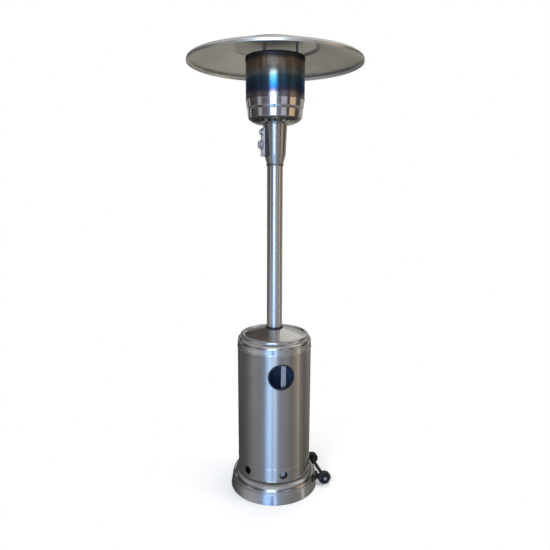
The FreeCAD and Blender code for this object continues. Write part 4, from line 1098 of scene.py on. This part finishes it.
@dataclass
class Emitter(Assembly):
    """The bright bowl, the perforated screen on it and its cap."""

    wall: float = 0.001
    flange_radius: float = 0.044
    seat: Corner = (0.057, 0.0, 0.001)
    cone: Corner = (0.0944, -0.0034, 0.036)
    foot: Corner = (0.1223, 0.024, 0.002)
    foot_edge: Corner = (0.1253, 0.027, 0.001)
    groove_foot: Corner = (0.1288, 0.0615, 0.0005)
    groove_deep: Corner = (0.1268, 0.0645, 0.0005)
    groove_brow: Corner = (0.1320, 0.0745, 0.0008)
    rim: Corner = (0.1355, 0.108, 0.0008)
    rim_width: float = 0.003
    slot_count: int = 24
    slot_inner: float = 0.0923
    slot_length: float = 0.025
    slot_width: float = 0.007
    slot_round: float = 0.0016
    hole_pitch: float = 0.0072
    hole_sides: int = 8
    hole_corner: float = 0.0021
    hole_web: float = 0.0014
    hole_depth: float = 0.0006
    screen_wall: float = 0.0008
    plain_rows: int = 1
    cap_round: float = 0.0055

    def build(self) -> None:
        """Makes the emitter."""
        self.bowl()
        self.screen()
        self.cap()

    def bowl(self) -> None:
        """The mirror-bright bowl with its ring of slots."""
        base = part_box("head_housing")[1].z
        lip = (self.rim[0] + self.rim_width, self.rim[1], 0.0)
        path = ((self.flange_radius, 0.0, 0.0), self.seat, self.cone, self.foot, self.foot_edge,
                self.groove_foot, self.groove_deep, self.groove_brow, self.rim, lip)
        section = [(radius, base + rise, rounding) for radius, rise, rounding in path]
        piece = sheet("burner_bowl_shell", section, self.wall)
        level = self.foot[1]
        shift = Matrix.Translation((self.slot_inner + self.slot_length / 2, 0, base + level / 2))
        size = (self.slot_length, self.slot_width, level * 2)
        pierce(piece, [placed(slab(size, self.slot_round), turn @ shift)
                       for turn in turns(self.slot_count)])
        self.dress(piece, Body.BASE, Slot.POLISHED, "burner_bowl")

    def screen(self) -> None:
        """The perforated sheet: a flat grid with octagonal dimples in place of holes, coloured black as
        painted shade for the dark inside, rolled round a dark lining.
        """
        low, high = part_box("emitter_screen")
        radius = high.x
        height = high.z - low.z
        length = math.tau * radius
        rows = round(height / self.hole_pitch)
        grid = bmesh.new()
        bmesh.ops.create_grid(grid, x_segments=round(length / self.hole_pitch), y_segments=rows, size=0.5,
                              matrix=Matrix.Diagonal((length, height, 1.0, 1.0)))
        rounded(grid, grid.verts, self.hole_corner, 1, "VERTICES")
        border = height / 2 - self.plain_rows * height / rows
        cells = [face for face in grid.faces
                 if len(face.verts) == self.hole_sides and abs(face.calc_center_median().y) < border]
        bmesh.ops.inset_individual(grid, faces=cells, thickness=self.hole_web, depth=0.0)
        bmesh.ops.inset_individual(grid, faces=cells, thickness=self.hole_depth / 4, depth=-self.hole_depth)
        # The dimples take the second, black finish: painted shade standing in for the dark inside seen
        # through open holes.
        for cell in cells:
            cell.material_index = 1
        for point in grid.verts:
            angle = point.co.x / radius
            reach = radius + point.co.z
            point.co = (reach * math.cos(angle), reach * math.sin(angle), point.co.y + (low.z + high.z) / 2)
        bmesh.ops.remove_doubles(grid, verts=grid.verts, dist=MERGE_GAP * 10)
        bmesh.ops.recalc_face_normals(grid, faces=grid.faces)
        inner = radius - self.screen_wall
        path = ((radius, low.z), (inner, low.z), (inner, high.z), (radius, high.z))
        lining = turned([(*corner, 0.0) for corner in path])
        bmesh.ops.reverse_faces(lining, faces=lining.faces)
        piece = joined("emitter_mesh", grid, lining)
        self.dress(piece, Body.BASE, Slot.HEATED, "emitter_screen")
        # Second finish: the painted shade of the dimples.
        piece.data.materials.append(self.finishes[Look.HOLE_SHADE])

    def cap(self) -> None:
        """The dark lid on the screen."""
        low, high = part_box("emitter_cap")
        section = [(high.x, low.z, self.wall / 3), (high.x, high.z, self.cap_round), (0.0, high.z, 0.0)]
        self.dress(sheet("emitter_lid", section, self.wall), Body.BASE, Slot.HEATED, "emitter_cap")


@dataclass
class Reflector(Assembly):
    """The wide spun reflector on its three posts."""

    wall: float = 0.001
    middle_radius: float = 0.189
    ring_radius: float = 0.207
    ring_drop: float = 0.010
    fold: float = 0.0024
    dome: Corner = (0.3043, -0.0340, 0.085)
    lip_drop: float = 0.0640
    lip_round: float = 0.009
    hem_width: float = 0.005
    hem_round: float = 0.0016
    hem_height: float = 0.005
    post_radius: float = 0.0055
    stud_radius: float = 0.004
    post_edge: float = 0.0006
    hub_radius: float = 0.007
    hub_height: float = 0.008
    hub_waist: float = 0.0058
    wing_length: float = 0.012
    wing_height: float = 0.008
    wing_thickness: float = 0.0026
    wing_round: float = 0.0012
    wing_lean: float = math.radians(14)
    wing_rise: float = 0.007
    wing_reach: float = 0.0115
    post_count: int = 3

    def build(self) -> None:
        """Makes the reflector, its posts and its wing nuts."""
        self.spun_dish()
        for index in range(1, self.post_count + 1):
            self.post(index)
        self.wing_nuts()

    def spun_dish(self) -> None:
        """The spun dish with its pressed ring and hemmed lip."""
        low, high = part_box("reflector")
        radius = high.x
        section = [
            (0.0, high.z, 0.0),
            (self.middle_radius, high.z, self.fold),
            (self.ring_radius, high.z - self.ring_drop, self.fold),
            (self.dome[0], high.z + self.dome[1], self.dome[2]),
            (radius, high.z - self.lip_drop, self.lip_round),
            (radius, low.z, self.hem_round),
            (radius - self.hem_width, low.z, self.hem_round),
            (radius - self.hem_width, low.z + self.hem_height, 0.0),
        ]
        piece = sheet("reflector_dish", section, self.wall)
        self.dress(piece, Body.BASE, Slot.REFLECTOR, "reflector")

    def post_place(self, index: int, height: float = 0.0) -> Matrix:
        """The axis of a post, at a height."""
        return Matrix.Translation((*middle(f"reflector_post_{index}").xy, height))

    def post(self, index: int) -> None:
        """One post with a stud at each end.

        Args:
            index: number of the post.
        """
        node = f"reflector_post_{index}"
        low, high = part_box(node)
        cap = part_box("emitter_cap")[1].z
        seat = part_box("reflector")[1].z - self.wall
        section = [
            (0.0, low.z, 0.0),
            (self.stud_radius, low.z, self.post_edge),
            (self.stud_radius, cap, 0.0),
            (self.post_radius, cap, self.post_edge),
            (self.post_radius, seat, self.post_edge),
            (self.stud_radius, seat, 0.0),
            (self.stud_radius, high.z, self.post_edge),
            (0.0, high.z, 0.0),
        ]
        piece = joined(f"post_{index}", placed(turned(section, SMALL_STEPS), self.post_place(index)))
        self.dress(piece, Body.BASE, Slot.HEATED, node, look=Look.DULLED_AND_SHADE)

    def wing_nuts(self) -> None:
        """The wing nuts on the studs."""
        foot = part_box("wing_nuts")[0].z
        shapes = []
        hub = [
            (self.stud_radius, 0.0, 0.0),
            (self.hub_radius, 0.0, self.post_edge),
            (self.hub_waist, self.hub_height, self.post_edge),
            (self.stud_radius, self.hub_height, 0.0),
        ]
        for index in range(1, self.post_count + 1):
            place = self.post_place(index, foot)
            shapes.append(placed(turned(hub, SMALL_STEPS, closed=True), place))
            for side in (-1, 1):
                wing = slab((self.wing_length, self.wing_thickness, self.wing_height), self.wing_round, 3)
                stand = Matrix.Translation((self.wing_reach * side, 0, self.wing_rise))
                lean = Matrix.Rotation(-self.wing_lean * side, 4, "Y")
                shapes.append(placed(wing, place @ stand @ lean))
        self.dress(joined("reflector_wing_nuts", *shapes), Body.BASE, Slot.ZINC, "wing_nuts")


@dataclass
class Wheels(Assembly):
    """The two wheels behind the base and the sleeve on their axle."""

    bore: float = 0.00505
    hub_radius: float = 0.012
    hub_boss: float = 0.0097
    half_width: float = 0.012
    half_web: float = 0.006
    rim_depth: float = 0.008
    tread_round: float = 0.0036
    groove_half: float = 0.0022
    groove_depth: float = 0.0011
    edge: float = 0.0008
    rib_count: int = 6
    rib_width: float = 0.0024
    rib_rise: float = 0.0042
    sleeve_radius: float = 0.0085
    arm_thickness: float = 0.0042

    def build(self) -> None:
        """Makes both wheels and the sleeve."""
        self.wheel(Body.LEFT_WHEEL, -1)
        self.wheel(Body.RIGHT_WHEEL, 1)
        self.sleeve()

    def sleeve(self) -> None:
        """The painted tube on the axle between the bracket's arms."""
        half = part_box("wheel_bracket")[1].x - self.arm_thickness
        section = [
            (self.bore, -half, 0.0),
            (self.sleeve_radius, -half, self.edge),
            (self.sleeve_radius, half, self.edge),
            (self.bore, half, 0.0),
        ]
        place = Matrix.Translation(middle("wheel_axle")) @ SIDEWAYS
        self.dress(ring("axle_sleeve", section, SMALL_STEPS, place), Body.BASE, Slot.PAINT)

    def wheel(self, body: Body, side: int) -> None:
        """One moulded wheel with a grooved tread, a ribbed web and a hub.

        Args:
            body: the body that it moves with, which has the name of the solid that it stands for.
            side: 1 for the wheel at +X, -1 for the other.
        """
        node = body.value
        low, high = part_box(node)
        radius = (high.z - low.z) / 2
        rim = radius - self.rim_depth
        half = self.half_width
        section = [
            (self.bore, -half - self.hub_boss, 0.0),
            (self.hub_radius, -half - self.hub_boss, self.edge),
            (self.hub_radius, -self.half_web, self.edge),
            (rim, -self.half_web, self.edge),
            (rim, -half, self.edge),
            (radius, -half, self.tread_round),
            (radius, -self.groove_half, self.edge / 2),
            (radius - self.groove_depth, -self.groove_half / 2, self.edge / 2),
            (radius - self.groove_depth, self.groove_half / 2, self.edge / 2),
            (radius, self.groove_half, self.edge / 2),
            (radius, half, self.tread_round),
            (rim, half, self.edge),
            (rim, self.half_web, self.edge),
            (self.hub_radius, self.half_web, self.edge),
            (self.hub_radius, half, self.edge),
            (self.bore, half, 0.0),
        ]
        outer = high.x if side > 0 else low.x
        centre = (outer - half * side, (low.y + high.y) / 2, (low.z + high.z) / 2)
        place = Matrix.Translation(centre) @ Matrix.Rotation(QUARTER * side, 4, "Y")
        shapes = [placed(turned(section, HOLE_STEPS, closed=True), place)]
        shift = Matrix.Translation(((self.hub_radius + rim) / 2, 0, 0))
        size = (rim - self.hub_radius + self.edge * 2, self.rib_width, (self.half_web + self.rib_rise) * 2)
        for turn in turns(self.rib_count):
            shapes.append(placed(slab(size, self.edge / 2), place @ turn @ shift))
        self.dress(joined(f"{node}_moulding", *shapes), body, Slot.PLASTIC, node)


# Studio


@dataclass(frozen=True)
class Lamp:
    """A square soft lamp aimed at the object."""

    name: str
    place: Corner
    side: float
    watts: float
    colour: Colour

    def build(self) -> None:
        """Hangs the lamp."""
        data = bpy.data.lights.new(self.name, "AREA")
        data.size = self.side
        data.energy = self.watts
        data.color = self.colour
        lamp = bpy.data.objects.new(self.name, data)
        bpy.context.scene.collection.objects.link(lamp)
        lamp.location = self.place
        lamp.rotation_euler = (middle("pole") - Vector(self.place)).to_track_quat("-Z", "Y").to_euler()
        lamp.visible_glossy = False


@dataclass(frozen=True)
class Band:
    """A band of the surround: its name, the heights over which it fades in, and its colours.

    The colours have their places in degrees from the window.
    """

    name: str
    span: Span
    stops: Stops


YARD = (
    (-180, (0.111, 0.106, 0.094)), (-165, (0.05, 0.048, 0.044)), (-150, (0.026, 0.026, 0.028)),
    (-120, (0.032, 0.032, 0.034)), (-85, (0.098, 0.098, 0.099)), (-72, (0.178, 0.174, 0.171)),
    (-66, (0.175, 0.175, 0.179)), (-50, (0.22, 0.22, 0.229)), (-21, (0.165, 0.183, 0.232)),
    (-15, (0.29, 0.47, 0.79)), (-2, (0.29, 0.47, 0.79)), (2.5, (0.06, 0.11, 0.24)),
    (7, (0.06, 0.11, 0.24)), (9.5, (0.46, 0.62, 0.87)), (12.5, (0.42, 0.58, 0.83)),
    (16.5, (0.17, 0.21, 0.29)), (26, (0.15, 0.168, 0.205)), (40, (0.125, 0.13, 0.138)),
    (66, (0.11, 0.11, 0.109)), (84, (0.13, 0.127, 0.12)), (87, (0.38, 0.36, 0.33)),
    (90, (0.38, 0.36, 0.33)), (93, (0.14, 0.134, 0.123)), (120, (0.098, 0.093, 0.084)),
    (138, (0.11, 0.105, 0.095)), (156, (0.07, 0.066, 0.058)), (180, (0.111, 0.106, 0.094)),
)
BANDS = (
    Band("room", (-0.24, -0.14), (
        (-180, (0.15, 0.145, 0.131)), (-170, (0.11, 0.106, 0.096)), (-160, (0.02, 0.018, 0.017)),
        (-150, (0.03, 0.028, 0.03)), (-147, (0.2, 0.195, 0.215)), (-136, (0.2, 0.195, 0.215)),
        (-133, (0.03, 0.028, 0.028)), (-121, (0.03, 0.028, 0.028)), (-118, (0.16, 0.15, 0.15)),
        (-110, (0.15, 0.135, 0.135)), (-107, (0.02, 0.018, 0.018)), (-90, (0.025, 0.024, 0.025)),
        (-66, (0.04, 0.04, 0.043)), (-61, (0.17, 0.17, 0.18)), (-50, (0.15, 0.15, 0.16)),
        (-45, (0.05, 0.05, 0.06)), (-26, (0.06, 0.06, 0.08)), (-13, (0.12, 0.135, 0.19)),
        (-9, (0.68, 0.85, 1.0)), (10, (0.72, 0.87, 1.0)), (14, (0.11, 0.125, 0.17)),
        (30, (0.06, 0.062, 0.075)), (34, (0.21, 0.2, 0.24)), (53, (0.19, 0.185, 0.21)),
        (58, (0.025, 0.022, 0.028)), (66, (0.03, 0.027, 0.028)), (70, (0.3, 0.215, 0.135)),
        (93, (0.27, 0.195, 0.125)), (99, (0.03, 0.026, 0.023)), (121, (0.035, 0.031, 0.029)),
        (132, (0.17, 0.165, 0.15)), (180, (0.15, 0.145, 0.131)),
    )),
    Band("eaves", (0.135, 0.175), (
        (-180, (0.2, 0.2, 0.21)), (-167, (0.2, 0.2, 0.21)), (-160, (0.018, 0.017, 0.017)),
        (-95, (0.0095, 0.0095, 0.01)), (-55, (0.0135, 0.0135, 0.0145)), (-16, (0.018, 0.0185, 0.0205)),
        (-6, (1.1, 1.38, 1.6)), (9, (1.15, 1.42, 1.6)), (19, (0.018, 0.0185, 0.0205)),
        (70, (0.011, 0.011, 0.0115)), (120, (0.0095, 0.0095, 0.01)), (172, (0.05, 0.036, 0.03)),
        (178, (0.2, 0.2, 0.21)),
    )),
    Band("sky", (0.28, 0.4), (
        (-180, (0.3, 0.295, 0.28)), (-172, (0.14, 0.13, 0.12)), (-162, (0.035, 0.03, 0.028)),
        (-148, (0.04, 0.036, 0.035)), (-130, (0.11, 0.108, 0.108)), (-95, (0.12, 0.119, 0.12)),
        (-70, (0.2, 0.2, 0.205)), (-35, (0.14, 0.14, 0.16)), (-22, (0.26, 0.275, 0.3)),
        (22, (0.26, 0.275, 0.3)), (40, (0.16, 0.16, 0.17)), (75, (0.2, 0.19, 0.175)),
        (92, (0.34, 0.33, 0.315)), (104, (0.34, 0.33, 0.315)), (115, (0.1, 0.096, 0.09)),
        (144, (0.1, 0.096, 0.09)), (157, (0.3, 0.295, 0.28)), (180, (0.3, 0.295, 0.28)),
    )),
    Band("ground", (-0.4, -0.54), (
        (-180, (0.118, 0.113, 0.101)), (-166, (0.1, 0.096, 0.087)), (-156, (0.018, 0.018, 0.019)),
        (-80, (0.018, 0.018, 0.02)), (-50, (0.06, 0.06, 0.064)), (-21, (0.13, 0.145, 0.19)),
        (-15, (0.24, 0.4, 0.69)), (-2, (0.24, 0.4, 0.69)), (2.5, (0.06, 0.11, 0.24)),
        (7, (0.06, 0.11, 0.24)), (9.5, (0.38, 0.52, 0.75)), (12.5, (0.35, 0.49, 0.72)),
        (16.5, (0.15, 0.18, 0.25)), (40, (0.1, 0.105, 0.113)), (66, (0.085, 0.085, 0.084)),
        (90, (0.06, 0.058, 0.053)), (120, (0.02, 0.019, 0.018)), (156, (0.02, 0.019, 0.018)),
        (166, (0.1, 0.096, 0.087)), (180, (0.118, 0.113, 0.101)),
    )),
    Band("zenith", (0.78, 0.94), ((0, (0.13, 0.132, 0.138)),)),
    Band("nadir", (-0.82, -0.94), ((0, (0.03, 0.03, 0.031)),)),
)
LAMPS = (
    Lamp("key", (2.6, -2.4, 2.9), 1.8, 95.0, (0.92, 0.96, 1.0)),
    Lamp("fill", (1.6, 3.2, 2.2), 2.0, 45.0, (1.0, 0.97, 0.93)),
    Lamp("top", (-0.4, 0.2, 4.2), 2.4, 108.0, WHITE),
)


@dataclass
class Studio:
    """The floor, the surround, the lamps and the camera."""

    image_width: int = 550
    focal_pixels: float = 513.59
    sensor: float = 36.0
    azimuth: float = math.radians(75)
    distance: float = 2.4986
    height: float = 1.5426
    pitch: float = math.radians(9.93)
    roll: float = math.radians(0.21)
    aim_shift: float = 0.0008
    floor_radius: float = 1.6
    floor_drop: float = 0.0005
    floor_solid: float = 0.22
    floor_gone: float = 0.85
    floor_colour: Colour = (0.95, 0.95, 0.95)
    floor_roughness: float = 0.9
    window_turn: float = math.radians(23)
    surround_strength: float = 3.0

    def build(self) -> None:
        """Sets up the studio."""
        bpy.context.scene.view_settings.view_transform = "Standard"
        self.camera()
        self.floor()
        self.surround()
        for lamp in LAMPS:
            lamp.build()

    def camera(self) -> None:
        """The camera at the photograph's place, with its small roll."""
        data = bpy.data.cameras.new("camera")
        data.sensor_fit = "HORIZONTAL"
        data.sensor_width = self.sensor
        data.lens = self.focal_pixels / self.image_width * self.sensor
        data.shift_x = self.aim_shift
        camera = bpy.data.objects.new("camera", data)
        bpy.context.scene.collection.objects.link(camera)
        toward = Vector((-math.sin(self.azimuth), math.cos(self.azimuth), 0.0))
        forward = toward * math.cos(self.pitch) - Vector((0, 0, math.sin(self.pitch)))
        right = forward.cross(Vector((0, 0, 1))).normalized()
        upward = right.cross(forward)
        tilted_right = right * math.cos(self.roll) + upward * math.sin(self.roll)
        tilted_up = upward * math.cos(self.roll) - right * math.sin(self.roll)
        turn = Matrix((tilted_right, tilted_up, -forward)).transposed()
        place = -toward * self.distance + Vector((0, 0, self.height))
        camera.matrix_world = Matrix.Translation(place) @ turn.to_4x4()
        bpy.context.scene.camera = camera

    def floor(self) -> None:
        """A pale floor that fades out into the background."""
        shape = bmesh.new()
        bmesh.ops.create_circle(shape, cap_ends=True, segments=SHELL_STEPS, radius=self.floor_radius)
        piece = joined("floor", placed(shape, Matrix.Translation((0, 0, -self.floor_drop))))
        coat = Coat("pale_floor")
        coat.set(Base_Color=(*self.floor_colour, 1.0), Roughness=self.floor_roughness)
        reach = coat.add("VectorMath", {0: coat.coordinates}, "Value", operation="LENGTH")
        fade = coat.spread(reach, 0.0, 1.0, self.floor_solid, self.floor_gone)
        clear = coat.add("BsdfTransparent")
        mixed = coat.add("MixShader", {"Fac": fade, 1: coat.shader, 2: clear})
        coat.show("OutputMaterial", mixed)
        piece.data.materials.append(coat.material)
        piece.visible_glossy = False

    def surround(self) -> None:
        """White behind the object, and a room with one bright window for the metal to show."""
        world = bpy.data.worlds.new("studio")
        bpy.context.scene.world = world
        world.use_nodes = True
        nodes = Nodes(world.node_tree)
        generated = nodes.add("TexCoord", output="Generated")
        feeds = {"Vector": generated, "Rotation": (0.0, 0.0, self.window_turn)}
        facing = nodes.add("Mapping", feeds)
        axes = nodes.add("SeparateXYZ", {"Vector": facing}).node.outputs
        angle = nodes.add("Math", {0: axes["Y"], 1: axes["X"]}, operation="ARCTAN2")
        around = nodes.spread(angle, 0.0, 1.0, -math.pi, math.pi)

        def shown(stops: Stops) -> object:
            """One plain colour, or a ramp of colours round the azimuth.

            Args:
                stops: the colours, with places in degrees from the window.

            Returns:
                The colour or the ramp's output.
            """
            if len(stops) == 1:
                return (*stops[0][1], 1.0)
            return nodes.ramp(around, [(0.5 + degrees / 360, colour) for degrees, colour in stops])

        colour = shown(YARD)
        for band in BANDS:
            colour = nodes.blend(colour, shown(band.stops), nodes.spread(axes["Z"], 0.0, 1.0, *band.span))
        room = nodes.add("Background", {"Color": colour, "Strength": self.surround_strength})
        white = nodes.add("Background", {"Color": (*WHITE, 1.0)})
        seen = nodes.add("LightPath", output="Is Camera Ray")
        mixed = nodes.add("MixShader", {"Fac": seen, 1: room, 2: white})
        nodes.show("OutputWorld", mixed)


def main() -> None:
    """Builds every sub-assembly, then the studio."""
    logging.basicConfig(level=logging.INFO)
    made = finishes()
    dress_solids(made)
    for assembly in (Base, TankHousing, Stem, Controls, Emitter, Reflector, Wheels):
        assembly(made).build()
    Studio().build()


if __name__ == "__main__":
    main()
